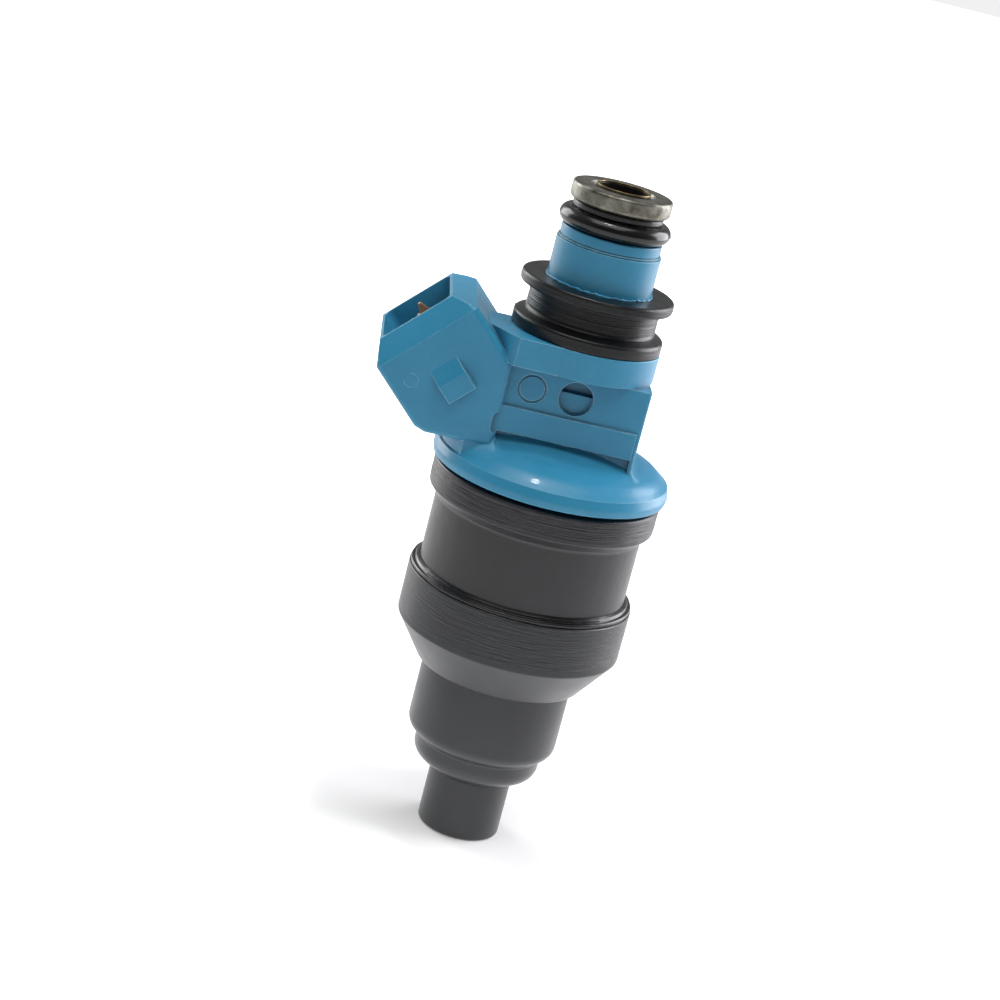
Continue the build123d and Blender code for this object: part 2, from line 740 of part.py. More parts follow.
def coil_bobbin():
    """Plastic bobbin with two risers that carry the coil's ends up to the terminals."""
    drum = turned([
        (BOBBIN_BORE_R, BOBBIN_BOTTOM),
        (BOBBIN_FLANGE_R, BOBBIN_BOTTOM),
        (BOBBIN_FLANGE_R, BOBBIN_LOW_FLANGE_TOP),
        (BOBBIN_DRUM_R, BOBBIN_LOW_FLANGE_TOP),
        (BOBBIN_DRUM_R, BOBBIN_TOP_FLANGE_BOTTOM),
        (BOBBIN_FLANGE_R, BOBBIN_TOP_FLANGE_BOTTOM),
        (BOBBIN_FLANGE_R, BOBBIN_TOP),
        (BOBBIN_BORE_R, BOBBIN_TOP),
    ])
    drum -= ring_groove(BOBBIN_RING_R, BOBBIN_TOP, -1)
    drum -= ring_groove(BOBBIN_LOW_RING_R, BOBBIN_BOTTOM, 1)
    for y in (-PIN_Y, PIN_Y):
        drum += rod(RISER_R, BOBBIN_TOP - RISER_ROOT, RISER_TOP, LEG_X, y)
        half_x = LEG_WIDTH / 2 + FIT_GAP
        half_y = BLADE_THICK / 2 + FIT_GAP
        low = LEG_BOTTOM - FIT_GAP
        drum -= block(LEG_X - half_x, LEG_X + half_x, y - half_y, y + half_y, low, RISER_TOP + CLEAR)
    return drum


def ring_groove(centre_r, face_z, way):
    """Square groove for a bobbin seal, cut into one flange face. way is +1 upwards, -1 downwards."""
    width = BOBBIN_RING_MINOR_R + SEAL_GAP
    depth = 2 * BOBBIN_RING_MINOR_R + SEAL_GAP
    low, high = sorted((face_z - way, face_z + way * depth))
    return tube(centre_r + width, centre_r - width, low, high)


def coil_winding():
    """Copper winding as one closed ring of its true size."""
    low = BOBBIN_LOW_FLANGE_TOP + FIT_GAP
    high = BOBBIN_TOP_FLANGE_BOTTOM - FIT_GAP
    return tube(WINDING_R, BOBBIN_DRUM_R + FIT_GAP, low, high)


def bobbin_upper_ring():
    """Seal between bobbin and core disc."""
    return o_ring(BOBBIN_RING_R, BOBBIN_RING_MINOR_R, BOBBIN_TOP - BOBBIN_RING_MINOR_R)


def bobbin_lower_ring():
    """Seal between bobbin and housing floor."""
    return o_ring(BOBBIN_LOW_RING_R, BOBBIN_RING_MINOR_R, BOBBIN_BOTTOM + BOBBIN_RING_MINOR_R)


def adjusting_tube():
    """Tube that sets the return spring's load."""
    return turned([
        (TUBE_BORE_R, SPRING_TOP + FIT_GAP),
        (TUBE_R, SPRING_TOP + FIT_GAP, TUBE_BOTTOM_ROUND),
        (TUBE_R, TUBE_TOP, TUBE_TOP_ROUND),
        (TUBE_BORE_R, TUBE_TOP),
    ])


def return_spring():
    """Coil spring between the adjusting tube and the armature."""
    low = ARMATURE_CUP_FLOOR + FIT_GAP + SPRING_WIRE_R
    high = SPRING_TOP - SPRING_WIRE_R
    pitch = (high - low) / SPRING_TURNS
    path = Helix(pitch, high - low, SPRING_MEAN_R, center=(0, 0, low))
    section = Plane(origin=path @ 0, z_dir=path % 0) * Circle(SPRING_WIRE_R)
    return sweep(section, path, is_frenet=True)


def armature():
    """Steel plunger that the coil pulls up."""
    body = turned([
        (0, ARMATURE_BOTTOM),
        (ARMATURE_R, ARMATURE_BOTTOM, ARMATURE_BOTTOM_ROUND),
        (ARMATURE_R, ARMATURE_TOP, ARMATURE_TOP_ROUND),
        (ARMATURE_CUP_R, ARMATURE_TOP),
        (ARMATURE_CUP_R, ARMATURE_CUP_FLOOR),
        (0, ARMATURE_CUP_FLOOR),
    ])
    body -= rod(NEEDLE_SOCKET_R, ARMATURE_BOTTOM - CLEAR, NEEDLE_TOP + FIT_GAP)
    for side in (-1, 1):
        body -= rod(FUEL_HOLE_R, ARMATURE_BOTTOM - CLEAR, ARMATURE_TOP + CLEAR, side * FUEL_HOLE_X)
    return body


def needle_valve():
    """Valve needle: pintle, seat cone, two guides, stop collar and stem."""
    return turned([
        (0, PINTLE_BOTTOM),
        (PINTLE_R, PINTLE_BOTTOM),
        (PINTLE_R, PINTLE_TOP),
        (CONE_TOP_R, CONE_TOP),
        (CONE_TOP_R, LOW_GUIDE_FOOT),
        (NEEDLE_GUIDE_R, LOW_GUIDE_BOTTOM),
        (NEEDLE_GUIDE_R, LOW_GUIDE_TOP),
        (NEEDLE_WAIST_R, NEEDLE_WAIST_BOTTOM),
        (NEEDLE_WAIST_R, NEEDLE_WAIST_TOP),
        (NEEDLE_GUIDE_R, HIGH_GUIDE_BOTTOM),
        (NEEDLE_GUIDE_R, HIGH_GUIDE_TOP),
        (NEEDLE_COLLAR_R, NEEDLE_COLLAR_BOTTOM),
        (NEEDLE_COLLAR_R, NEEDLE_COLLAR_TOP),
        (NEEDLE_STEM_R, NEEDLE_COLLAR_TOP),
        (NEEDLE_STEM_R, NEEDLE_TOP),
        (0, NEEDLE_TOP),
    ])


def valve_body():
    """Hardened body with the needle's guide bore, seat and metering hole."""
    return turned([
        (ORIFICE_R, SNOUT_BOTTOM),
        (SNOUT_R, SNOUT_BOTTOM, VALVE_ROUND),
        (SNOUT_R, VALVE_FOOT_Z),
        (VALVE_R, VALVE_FOOT_Z, VALVE_ROUND),
        (VALVE_R, RING_GROOVE_BOTTOM),
        (RING_GROOVE_R, RING_GROOVE_BOTTOM),
        (RING_GROOVE_R, RING_GROOVE_TOP),
        (VALVE_R, RING_GROOVE_TOP),
        (VALVE_R, VALVE_TOP, VALVE_TOP_ROUND),
        (GUIDE_BORE_R, VALVE_TOP),
        (GUIDE_BORE_R, SEAT_TOP_Z),
        (ORIFICE_R, SAC_Z),
    ])


def valve_body_ring():
    """Seal around the valve body."""
    return o_ring(RING_GROOVE_R + SEAL_GAP + VALVE_RING_MINOR_R, VALVE_RING_MINOR_R, VALVE_RING_Z)


def stop_plate():
    """C-shaped plate that stops the needle's lift."""
    plate = tube(PLATE_R, PLATE_SLOT, PLATE_BOTTOM + STOP_CLEARANCE, PLATE_TOP)
    slot = block(0, 2 * PLATE_R, -PLATE_SLOT, PLATE_SLOT, PLATE_BOTTOM - CLEAR, PLATE_TOP + CLEAR)
    return plate - slot


def lift_spacer():
    """Ring that sets the armature's air gap."""
    return tube(SPACER_R, SPACER_INNER_R, SPACER_BOTTOM, SPACER_TOP)


def lower_body():
    """Lower body: turned band, steep shoulder and smooth stepped nose."""
    return turned([
        (SNOUT_BORE_R, STEP_BOTTOM),
        (STEP_FOOT_R, STEP_BOTTOM, STEP_FOOT_ROUND),
        (STEP_R, STEP_EDGE_Z, STEP_ROUND),
        (STEP_R, LEDGE_FOOT_Z),
        (LEDGE_R, LEDGE_Z, LEDGE_ROUND),
        (NOSE_R, NOSE_EDGE_Z, NOSE_ROUND),
        (NOSE_R, CONE_FOOT_Z),
        (CONE_R, CONE_BOTTOM, CONE_ROUND),
        (BAND_R, BAND_BOTTOM, BAND_BOTTOM_ROUND),
        (BAND_R, BAND_TOP, BAND_TOP_ROUND),
        (CUP_R, BAND_TOP),
        (CUP_R, CUP_FLOOR),
        (SPACER_BORE_R, CUP_FLOOR),
        (SPACER_BORE_R, PLATE_TOP + FIT_GAP),
        (VALVE_BORE_R, PLATE_TOP + FIT_GAP),
        (VALVE_BORE_R, VALVE_SEAT_Z),
        (SNOUT_BORE_R, VALVE_SEAT_Z),
    ])


def sealing_bead():
    """Glossy bead over the joint between housing and lower body."""
    bore = BARREL_R + FIT_GAP
    return turned([
        (bore, BEAD_BOTTOM),
        (BEAD_R, BEAD_BOTTOM, BEAD_LOW_ROUND),
        (BEAD_R, BEAD_WAIST_Z, BEAD_WAIST_ROUND),
        (BEAD_GROOVE_R, BEAD_GROOVE_Z, BEAD_GROOVE_ROUND),
        (BEAD_TOP_R, BEAD_TOP_EDGE_Z, BEAD_TOP_ROUND),
        (bore, BEAD_TOP),
    ])


def nozzle_cap():
    """Plastic cap over the nozzle's snout, with the spray opening."""
    return turned([
        (TIP_HOLE_R + TIP_HOLE_FLARE, 0),
        (TIP_R, 0, TIP_ROUND),
        (TIP_R, TIP_TOP),
        (TIP_BORE_R, TIP_TOP),
        (TIP_BORE_R, TIP_FLOOR),
        (TIP_HOLE_R, TIP_FLOOR),
        (TIP_HOLE_R, TIP_HOLE_THROAT),
    ])


PIECES = {
    "inlet_core": inlet_core,
    "filter_rim": filter_rim,
    "filter_cage": filter_cage,
    "filter_mesh": filter_mesh,
    "backup_ring": backup_ring,
    "upper_o_ring": lambda: o_ring(RING_CENTRE_R, RING_MINOR_R, RING_Z),
    "connector_body": connector_body,
    "terminal_front": lambda: terminal(-PIN_Y),
    "terminal_back": lambda: terminal(PIN_Y),
    "grommet": grommet,
    "housing_shell": housing_shell,
    "coil_bobbin": coil_bobbin,
    "coil_winding": coil_winding,
    "bobbin_upper_ring": bobbin_upper_ring,
    "bobbin_lower_ring": bobbin_lower_ring,
    "adjusting_tube": adjusting_tube,
    "return_spring": return_spring,
    "armature": armature,
    "needle_valve": needle_valve,
    "stop_plate": stop_plate,
    "lift_spacer": lift_spacer,
    "valve_body": valve_body,
    "valve_body_ring": valve_body_ring,
    "sealing_bead": sealing_bead,
    "lower_body": lower_body,
    "nozzle_cap": nozzle_cap,
}


def main():
    """Build every piece and write it as its own STEP file."""
    os.makedirs(OUT_DIR, exist_ok=True)
    for name, make in PIECES.items():
        shape = make()
        solids = shape.solids()
        print(f"{name}: {len(solids)} solid, {shape.volume:.2f} mm3")
        export_step(shape, os.path.join(OUT_DIR, name + ".step"))


if __name__ == "__main__":
    main()
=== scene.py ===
"""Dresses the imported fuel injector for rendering: finishes, fine detail, floor, lights and camera.

Metres, +Z up the injector's axis, the nozzle tip's end face at the origin. Sizes in the classes are in
millimetres, because that is how such a part is drawn, and are turned into metres where meshes are made.
"""

import logging
import math
from dataclasses import dataclass, field
from enum import Enum
from functools import cache

import bmesh
import bpy
from mathutils import Matrix, Vector


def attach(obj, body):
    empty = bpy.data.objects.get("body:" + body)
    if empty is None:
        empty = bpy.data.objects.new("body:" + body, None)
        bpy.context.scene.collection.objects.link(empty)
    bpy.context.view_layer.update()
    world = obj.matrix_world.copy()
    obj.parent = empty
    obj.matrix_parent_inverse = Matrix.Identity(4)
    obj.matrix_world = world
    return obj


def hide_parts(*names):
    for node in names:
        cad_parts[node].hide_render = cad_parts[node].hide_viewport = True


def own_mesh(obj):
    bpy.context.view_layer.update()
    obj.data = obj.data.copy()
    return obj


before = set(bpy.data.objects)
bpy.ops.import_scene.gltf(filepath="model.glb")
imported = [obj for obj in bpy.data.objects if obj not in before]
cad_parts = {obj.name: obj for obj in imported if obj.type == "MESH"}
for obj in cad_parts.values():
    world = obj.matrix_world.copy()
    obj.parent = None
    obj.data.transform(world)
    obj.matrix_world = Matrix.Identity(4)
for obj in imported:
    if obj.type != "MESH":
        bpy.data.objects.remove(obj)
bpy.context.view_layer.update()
MM = 0.001
LOG = logging.getLogger("injector")

Colour = tuple[float, float, float]
Point = tuple[float, float, float]
Value = bpy.types.NodeSocket | bpy.types.ID | float | tuple

LEAN = math.sqrt(0.5)
PLUG_LEVEL = 50.0
FLOAT = "NodeSocketFloat"
COUNT = "NodeSocketInt"
VECTOR = "NodeSocketVector"
TINT = "NodeSocketColor"


def srgb(red: int, green: int, blue: int) -> Colour:
    """Linear colour of an 8-bit screen colour.

    Args:
        red: red level, 0 to 255.
        green: green level.
        blue: blue level.

    Returns:
        The linear colour.
    """
    def one(level: int) -> float:
        """Linear value of one channel."""
        share = level / 255
        return share / 12.92 if share <= 0.04045 else ((share + 0.055) / 1.055) ** 2.4
    return one(red), one(green), one(blue)


def at_uv(u: float, v: float) -> tuple[float, float]:
    """(x, z) in mm of a point given along and across the plug's 45 degree axis."""
    return (v - u) * LEAN, PLUG_LEVEL + (u + v) * LEAN


class Wiring:
    """Adds nodes to one tree and joins their sockets."""

    def __init__(self, tree: bpy.types.NodeTree) -> None:
        """Keeps the tree to build in."""
        self.tree = tree

    def add(self, kind: str, settings: dict | None = None, **sockets: Value) -> bpy.types.Node:
        """Adds one node.

        Args:
            kind: the node's class name.
            settings: the node's own properties.
            **sockets: input values or source sockets, named as the input with _ for a space.

        Returns:
            The new node.
        """
        node = self.tree.nodes.new(kind)
        for name, value in (settings or {}).items():
            setattr(node, name, value)
        for name, value in sockets.items():
            self.feed(node, name.replace("_", " "), value)
        return node

    def feed(self, node: bpy.types.Node, name: str | int, value: Value) -> None:
        """Sets an input to a value, or joins a source socket to it.

        Args:
            node: the node that owns the input.
            name: the input's name or number.
            value: a plain value or an output socket.
        """
        if isinstance(value, bpy.types.NodeSocket):
            self.tree.links.new(value, node.inputs[name])
        else:
            node.inputs[name].default_value = value

    def numbered(self, kind: str, *values: Value, **settings: str) -> bpy.types.Node:
        """Adds a node whose inputs share a name, so that they are fed by number.

        Args:
            kind: the node's class name.
            *values: values or source sockets of the first inputs, in order.
            **settings: the node's own properties.

        Returns:
            The new node.
        """
        node = self.add(kind, settings)
        for number, value in enumerate(values):
            self.feed(node, number, value)
        return node

    def maths(self, operation: str, first: Value, second: Value = 0.0) -> bpy.types.NodeSocket:
        """Result of a Math node."""
        return self.numbered("ShaderNodeMath", first, second, operation=operation).outputs[0]

    def blend(self, share: Value, first: Value, second: Value) -> bpy.types.NodeSocket:
        """Mixes two colours.

        Args:
            share: share of the second colour, 0 to 1.
            first: first colour or socket.
            second: second colour or socket.

        Returns:
            The mixed colour's socket.
        """
        mix = self.add("ShaderNodeMix", {"data_type": "RGBA"})
        colour_inputs = ((0, share), (6, first), (7, second))
        for number, value in colour_inputs:
            self.feed(mix, number, value)
        return mix.outputs[2]


def blank(owner: bpy.types.Material | bpy.types.World) -> Wiring:
    """Empties the node tree of a material or world.

    Args:
        owner: the material or world.

    Returns:
        Wiring for its empty tree.
    """
    owner.use_nodes = True
    owner.node_tree.nodes.clear()
    return Wiring(owner.node_tree)


class Effect(Wiring):
    """A shader node group with named inputs and outputs."""

    def __init__(self, name: str, inputs: dict[str, str], outputs: dict[str, str]) -> None:
        """Starts the group.

        Args:
            name: the group's name.
            inputs: input names and socket types.
            outputs: output names and socket types.
        """
        super().__init__(bpy.data.node_groups.new(name, "ShaderNodeTree"))
        for way, sockets in (("INPUT", inputs), ("OUTPUT", outputs)):
            for label, kind in sockets.items():
                self.tree.interface.new_socket(label, in_out=way, socket_type=kind)
        self.given = {s.name: s for s in self.add("NodeGroupInput").outputs if s.name}

    def put_out(self, **sockets: Value) -> bpy.types.NodeTree:
        """Feeds the group's outputs, and returns the finished tree."""
        self.add("NodeGroupOutput", **sockets)
        return self.tree


class Effects:
    """The effects that several finishes share, each built once. Every method returns its node group."""

    @staticmethod
    @cache
    def mottle() -> bpy.types.NodeTree:
        """Cloudy change between two colours.

        Returns:
            The group, with output Colour.
        """
        w = Effect("cloudy colour", {"Vector": VECTOR, "Colour": TINT, "Tint": TINT, "Scale": FLOAT,
                                     "Amount": FLOAT}, {"Colour": TINT})
        given = w.given
        broad = w.add("ShaderNodeTexNoise", Vector=given["Vector"], Scale=given["Scale"], Detail=3.0)
        fine = w.add("ShaderNodeTexNoise", Vector=given["Vector"],
                     Scale=w.maths("MULTIPLY", given["Scale"], 9.0), Detail=2.0)
        both = w.maths("ADD", broad.outputs["Fac"], w.maths("MULTIPLY", fine.outputs["Fac"], 0.4))
        spread = w.add("ShaderNodeMapRange", Value=both, From_Min=0.45, From_Max=0.95)
        share = w.maths("MULTIPLY", spread.outputs["Result"], given["Amount"])
        return w.put_out(Colour=w.blend(share, given["Colour"], given["Tint"]))

    @staticmethod
    @cache
    def rub() -> bpy.types.NodeTree:
        """Uneven roughness from handling.

        Returns:
            The group, with output Roughness.
        """
        w = Effect("uneven gloss", {"Vector": VECTOR, "Middle": FLOAT, "Spread": FLOAT, "Scale": FLOAT},
                   {"Roughness": FLOAT})
        noise = w.add("ShaderNodeTexNoise", Vector=w.given["Vector"], Scale=w.given["Scale"], Detail=4.0)
        swing = w.maths("MULTIPLY", w.maths("SUBTRACT", noise.outputs["Fac"], 0.5), w.given["Spread"])
        return w.put_out(Roughness=w.maths("ADD", w.given["Middle"], swing))

    @staticmethod
    @cache
    def edges() -> bpy.types.NodeTree:
        """Softened edges, and a mask of where they are, from how far the rounded normal turns; the mask
        lightens the edges, partly as wear and partly as painted highlight.

        Returns:
            The group, with outputs Normal and Mask.
        """
        w = Effect("soft edges, worn and highlighted", {"Vector": VECTOR, "Radius": FLOAT, "Wear": FLOAT},
                   {"Normal": VECTOR, "Mask": FLOAT})
        rounded_off = w.add("ShaderNodeBevel", {"samples": 6}, Radius=w.given["Radius"]).outputs["Normal"]
        plain = w.add("ShaderNodeNewGeometry").outputs["Normal"]
        turn = w.numbered("ShaderNodeVectorMath", rounded_off, plain, operation="DOT_PRODUCT")
        bend = w.maths("SUBTRACT", 1.0, turn.outputs["Value"])
        noise = w.add("ShaderNodeTexNoise", Vector=w.given["Vector"], Scale=900.0, Detail=4.0)
        patchy = w.maths("MULTIPLY", bend, w.maths("MULTIPLY", noise.outputs["Fac"], 14.0))
        # edge mask: partly real wear, partly painted highlight
        edge_sheen_and_wear = w.maths("MINIMUM", w.maths("MULTIPLY", patchy, w.given["Wear"]), 1.0)
        return w.put_out(Normal=rounded_off, Mask=edge_sheen_and_wear)

    @staticmethod
    @cache
    def crevices() -> bpy.types.NodeTree:
        """Mask of the hollows and inner corners, where shade is painted into the colour.

        Returns:
            The group, with output Mask.
        """
        w = Effect("crevices", {"Reach": FLOAT, "Amount": FLOAT}, {"Mask": FLOAT})
        # painted shade: ambient occlusion finds the hollows and inner corners, which then take a darker
        # colour
        open_sky = w.add("ShaderNodeAmbientOcclusion", {"samples": 6, "only_local": True},
                         Distance=w.given["Reach"])
        depth = w.add("ShaderNodeMapRange", Value=open_sky.outputs["AO"], From_Min=0.80, From_Max=0.15)
        return w.put_out(Mask=w.maths("MULTIPLY", depth.outputs["Result"], w.given["Amount"]))

    @staticmethod
    @cache
    def turned_lines() -> bpy.types.NodeTree:
        """Irregular lathe lines around the axis, from noise that changes mostly along it.

        Returns:
            The group, with output Height.
        """
        w = Effect("lathe lines", {"Vector": VECTOR, "Lines": FLOAT, "Around": FLOAT, "Low": FLOAT,
                                   "High": FLOAT}, {"Height": FLOAT})
        given = w.given
        place = w.add("ShaderNodeSeparateXYZ", Vector=given["Vector"]).outputs
        point = w.add("ShaderNodeCombineXYZ", X=w.maths("MULTIPLY", place["X"], given["Around"]),
                      Y=w.maths("MULTIPLY", place["Y"], given["Around"]),
                      Z=w.maths("MULTIPLY", place["Z"], given["Lines"]))
        noise = w.add("ShaderNodeTexNoise", Vector=point.outputs["Vector"], Scale=1.0, Detail=3.0,
                      Roughness=0.62)
        turned = w.maths("MULTIPLY", w.maths("GREATER_THAN", place["Z"], given["Low"]),
                         w.maths("LESS_THAN", place["Z"], given["High"]))
        return w.put_out(Height=w.maths("MULTIPLY", noise.outputs["Fac"], turned))

    @staticmethod
    @cache
    def grain() -> bpy.types.NodeTree:
        """Fine skin of a moulding or casting, with a slow ripple under it.

        Returns:
            The group, with output Height.
        """
        w = Effect("skin grain", {"Vector": VECTOR, "Scale": FLOAT, "Ripple": FLOAT}, {"Height": FLOAT})
        fine = w.add("ShaderNodeTexNoise", Vector=w.given["Vector"], Scale=w.given["Scale"], Detail=3.0)
        slow = w.add("ShaderNodeTexNoise", Vector=w.given["Vector"],
                     Scale=w.maths("MULTIPLY", w.given["Scale"], 0.12), Detail=1.0)
        ripple = w.maths("MULTIPLY", slow.outputs["Fac"], w.given["Ripple"])
        return w.put_out(Height=w.maths("ADD", fine.outputs["Fac"], ripple))


class Skin(Enum):
    """How a surface was made, which decides its relief."""

    MOULDED = "moulded"
    TURNED = "turned"


@dataclass(frozen=True)
class Finish:
    """One finish, from colour to relief. Lengths are in mm."""

    slot: str
    colour: Colour
    tint: Colour
    roughness: float
    skin: Skin = Skin.MOULDED
    mottle_size: float = 6.0
    mottle: float = 0.5
    gloss_spread: float = 0.12
    rub_size: float = 2.5
    metallic: float = 0.0
    specular: float = 0.5
    coat: float = 0.0
    coat_roughness: float = 0.1
    grain_size: float = 0.25
    relief: float = 0.002
    ripple: float = 4.0
    edge: float = 0.12
    # lighter colour on edges: partly real wear, partly painted highlight
    wear_and_highlight: float = 0.0
    wear_and_highlight_colour: Colour = (0.5, 0.5, 0.5)
    line_gap: float = 0.3
    line_wander: float = 0.08
    line_depth: float = 8.0
    line_span: tuple[float, float] = (-1.0, 100.0)
    # painted shade in hollows: how strong it is, how far it reaches and its darker colour
    crevice_shade: float = 0.0
    crevice_shade_reach: float = 2.5
    crevice_shade_colour: Colour = (0.0, 0.0, 0.0)

    def build(self) -> bpy.types.Material:
        """Makes the material.

        Returns:
            The finished material, named for its slot.
        """
        mat = bpy.data.materials.new(self.slot)
        w = blank(mat)
        place = w.add("ShaderNodeTexCoord").outputs["Object"]
        colour = self.grouped(w, Effects.mottle(), Vector=place, Colour=(*self.colour, 1.0),
                              Tint=(*self.tint, 1.0), Scale=1 / (self.mottle_size * MM), Amount=self.mottle)
        edges = self.grouped(w, Effects.edges(), Vector=place, Radius=self.edge * MM, Wear=self.wear_and_highlight)
        # edges take the lighter colour: partly wear, partly painted highlight
        edge_sheen_and_wear = w.blend(edges["Mask"], colour["Colour"], (*self.wear_and_highlight_colour, 1.0))
        rough = self.grouped(w, Effects.rub(), Vector=place, Middle=self.roughness, Spread=self.gloss_spread,
                             Scale=1 / (self.rub_size * MM))
        body = w.add("ShaderNodeBsdfPrincipled", Base_Color=self.with_crevice_shade(w, edge_sheen_and_wear),
                     Roughness=rough["Roughness"],
                     Normal=self.relief_normal(w, place, edges["Normal"]), Metallic=self.metallic,
                     Specular_IOR_Level=self.specular, Coat_Weight=self.coat,
                     Coat_Roughness=self.coat_roughness)
        w.add("ShaderNodeOutputMaterial", Surface=body.outputs["BSDF"])
        return mat

    def with_crevice_shade(self, w: Wiring, unshaded: bpy.types.NodeSocket) -> bpy.types.NodeSocket:
        """Paints shade into the colour in the hollows, where the finish asks for it.

        Args:
            w: the material's wiring.
            unshaded: the colour before shade is painted into its hollows.

        Returns:
            The colour with it.
        """
        if not self.crevice_shade:
            return unshaded
        # painted shade: hollows found by ambient occlusion take the darker colour
        hollow = self.grouped(w, Effects.crevices(), Reach=self.crevice_shade_reach * MM, Amount=self.crevice_shade)
        return w.blend(hollow["Mask"], unshaded, (*self.crevice_shade_colour, 1.0))

    @staticmethod
    def grouped(w: Wiring, tree: bpy.types.NodeTree, **sockets: Value) -> bpy.types.bpy_prop_collection:
        """Places a shared effect in the material with this finish's values, and returns its outputs."""
        return w.add("ShaderNodeGroup", {"node_tree": tree}, **sockets).outputs

    def relief_normal(self, w: Wiring, place: bpy.types.NodeSocket,
                      soft: bpy.types.NodeSocket) -> bpy.types.NodeSocket:
        """Adds the surface's relief to the softened normal.

        Args:
            w: the material's wiring.
            place: object coordinates.
            soft: normal with softened edges.

        Returns:
            The normal to shade with.
        """
        fine = self.grouped(w, Effects.grain(), Vector=place, Scale=1 / (self.grain_size * MM),
                            Ripple=self.ripple)
        bump = w.add("ShaderNodeBump", Strength=1.0, Distance=self.relief * MM,
                     Height=fine["Height"], Normal=soft)
        if self.skin is Skin.MOULDED:
            return bump.outputs["Normal"]
        lines = self.grouped(w, Effects.turned_lines(), Vector=place, Lines=1 / (self.line_gap * MM),
                             Around=1 / (self.line_gap / self.line_wander * MM),
                             Low=self.line_span[0] * MM, High=self.line_span[1] * MM)
        grooves = w.add("ShaderNodeBump", Strength=1.0, Distance=self.relief * self.line_depth * MM,
                        Height=lines["Height"], Normal=bump.outputs["Normal"])
        return grooves.outputs["Normal"]


# blue moulding: its pale edges are painted highlight, and its darker hollows are painted shade
BLUE = Finish("blue_plastic", srgb(48, 130, 166), srgb(62, 144, 180), 0.34, mottle_size=5, mottle=0.6,
              specular=0.3, coat=0.12, grain_size=0.35, relief=0.006, ripple=5, edge=0.17, wear_and_highlight=0.5,
              wear_and_highlight_colour=srgb(170, 218, 234), crevice_shade=0.75, crevice_shade_reach=2.6, crevice_shade_colour=srgb(18, 76, 106))
INLET_STEEL = Finish("inlet_steel", srgb(152, 151, 141), srgb(74, 70, 58), 0.42, Skin.TURNED,
                     metallic=1.0, mottle_size=1.1, mottle=1.0, gloss_spread=0.5, relief=0.0014, edge=0.15,
                     wear_and_highlight=0.6, wear_and_highlight_colour=srgb(206, 202, 192), line_gap=0.12, line_wander=0.03)
FILTER_METAL = Finish("filter_metal", srgb(158, 140, 102), srgb(104, 88, 58), 0.34, Skin.TURNED,
                      metallic=1.0, mottle_size=0.6, mottle=0.8, edge=0.04, relief=0.001, line_gap=0.1)
FILTER_PLASTIC = Finish("filter_plastic", srgb(20, 17, 14), srgb(32, 26, 21), 0.38, mottle_size=1.0,
                        mottle=0.7, edge=0.06)
FILTER_GAUZE = Finish("filter_gauze", srgb(120, 112, 100), srgb(84, 78, 70), 0.4, metallic=1.0,
                      edge=0.01)
BLACK_PLASTIC = Finish("black_plastic", srgb(18, 18, 20), srgb(26, 26, 29), 0.28, edge=0.1,
                       mottle_size=2, relief=0.002)
SEAL_RUBBER = Finish("seal_rubber", srgb(13, 13, 14), srgb(22, 22, 24), 0.2, edge=0.05, mottle_size=2,
                     grain_size=0.3, relief=0.004, gloss_spread=0.2)
COPPER = Finish("terminal_copper", srgb(214, 164, 126), srgb(176, 122, 86), 0.36, Skin.TURNED, metallic=0.7,
                mottle_size=1.4, mottle=0.8, edge=0.08, wear_and_highlight=0.3, wear_and_highlight_colour=srgb(236, 200, 164),
                line_gap=0.09, relief=0.001)
# black rubber: its grey edge colour is painted highlight
GROMMET_RUBBER = Finish("grommet_rubber", srgb(8, 10, 12), srgb(16, 18, 21), 0.32, Skin.TURNED,
                        edge=0.15, wear_and_highlight=0.08, wear_and_highlight_colour=srgb(84, 88, 92), mottle_size=3, line_gap=0.28,
                        line_wander=0.05, relief=0.0035, gloss_spread=0.25, specular=0.4)
HOUSING_BLACK = Finish("housing_black", srgb(25, 24, 28), srgb(35, 33, 38), 0.33, Skin.TURNED,
                       metallic=0.1, specular=0.6, edge=0.18, wear_and_highlight=0.2, wear_and_highlight_colour=srgb(112, 110, 116),
                       mottle_size=3, grain_size=0.24, relief=0.009, line_gap=0.30, line_wander=0.05,
                       line_depth=14, line_span=(38.2, 40.8))
BOBBIN_PLASTIC = Finish("bobbin_plastic", srgb(58, 52, 46), srgb(42, 38, 34), 0.5, edge=0.1)
WINDING_COPPER = Finish("winding_copper", srgb(190, 96, 52), srgb(150, 66, 34), 0.3, metallic=1.0,
                        coat=0.6, mottle_size=2, edge=0.01)
INNER_STEEL = Finish("inner_steel", srgb(168, 168, 172), srgb(128, 128, 132), 0.34, Skin.TURNED,
                     metallic=1.0, edge=0.1, line_gap=0.15, line_wander=0.03, relief=0.0012)
SPRING_STEEL = Finish("spring_steel", srgb(150, 148, 146), srgb(104, 100, 96), 0.3, metallic=1.0, edge=0.02)
POLISHED_STEEL = Finish("polished_steel", srgb(200, 200, 204), srgb(170, 170, 176), 0.16, Skin.TURNED,
                        metallic=1.0, edge=0.06, line_gap=0.1, relief=0.0006, gloss_spread=0.08)
BEAD_LACQUER = Finish("bead_lacquer", srgb(10, 10, 12), srgb(16, 16, 18), 0.30, coat=0.15, edge=0.08,
                      mottle_size=2, grain_size=0.6, relief=0.012, ripple=3)
LOWER_BLACK = Finish("lower_black", srgb(27, 29, 33), srgb(36, 38, 43), 0.36, Skin.TURNED, metallic=0.1,
                     specular=0.6, edge=0.18, wear_and_highlight=0.16, wear_and_highlight_colour=srgb(112, 114, 118), mottle_size=4,
                     grain_size=0.25, relief=0.002, line_gap=0.20, line_wander=0.05, line_depth=44,
                     line_span=(24.0, 28.7))
CAP_BLACK = Finish("cap_black", srgb(17, 19, 23), srgb(25, 28, 32), 0.44, edge=0.2, mottle_size=3,
                   grain_size=0.25, relief=0.003)

Profile = list[tuple[float, ...]]


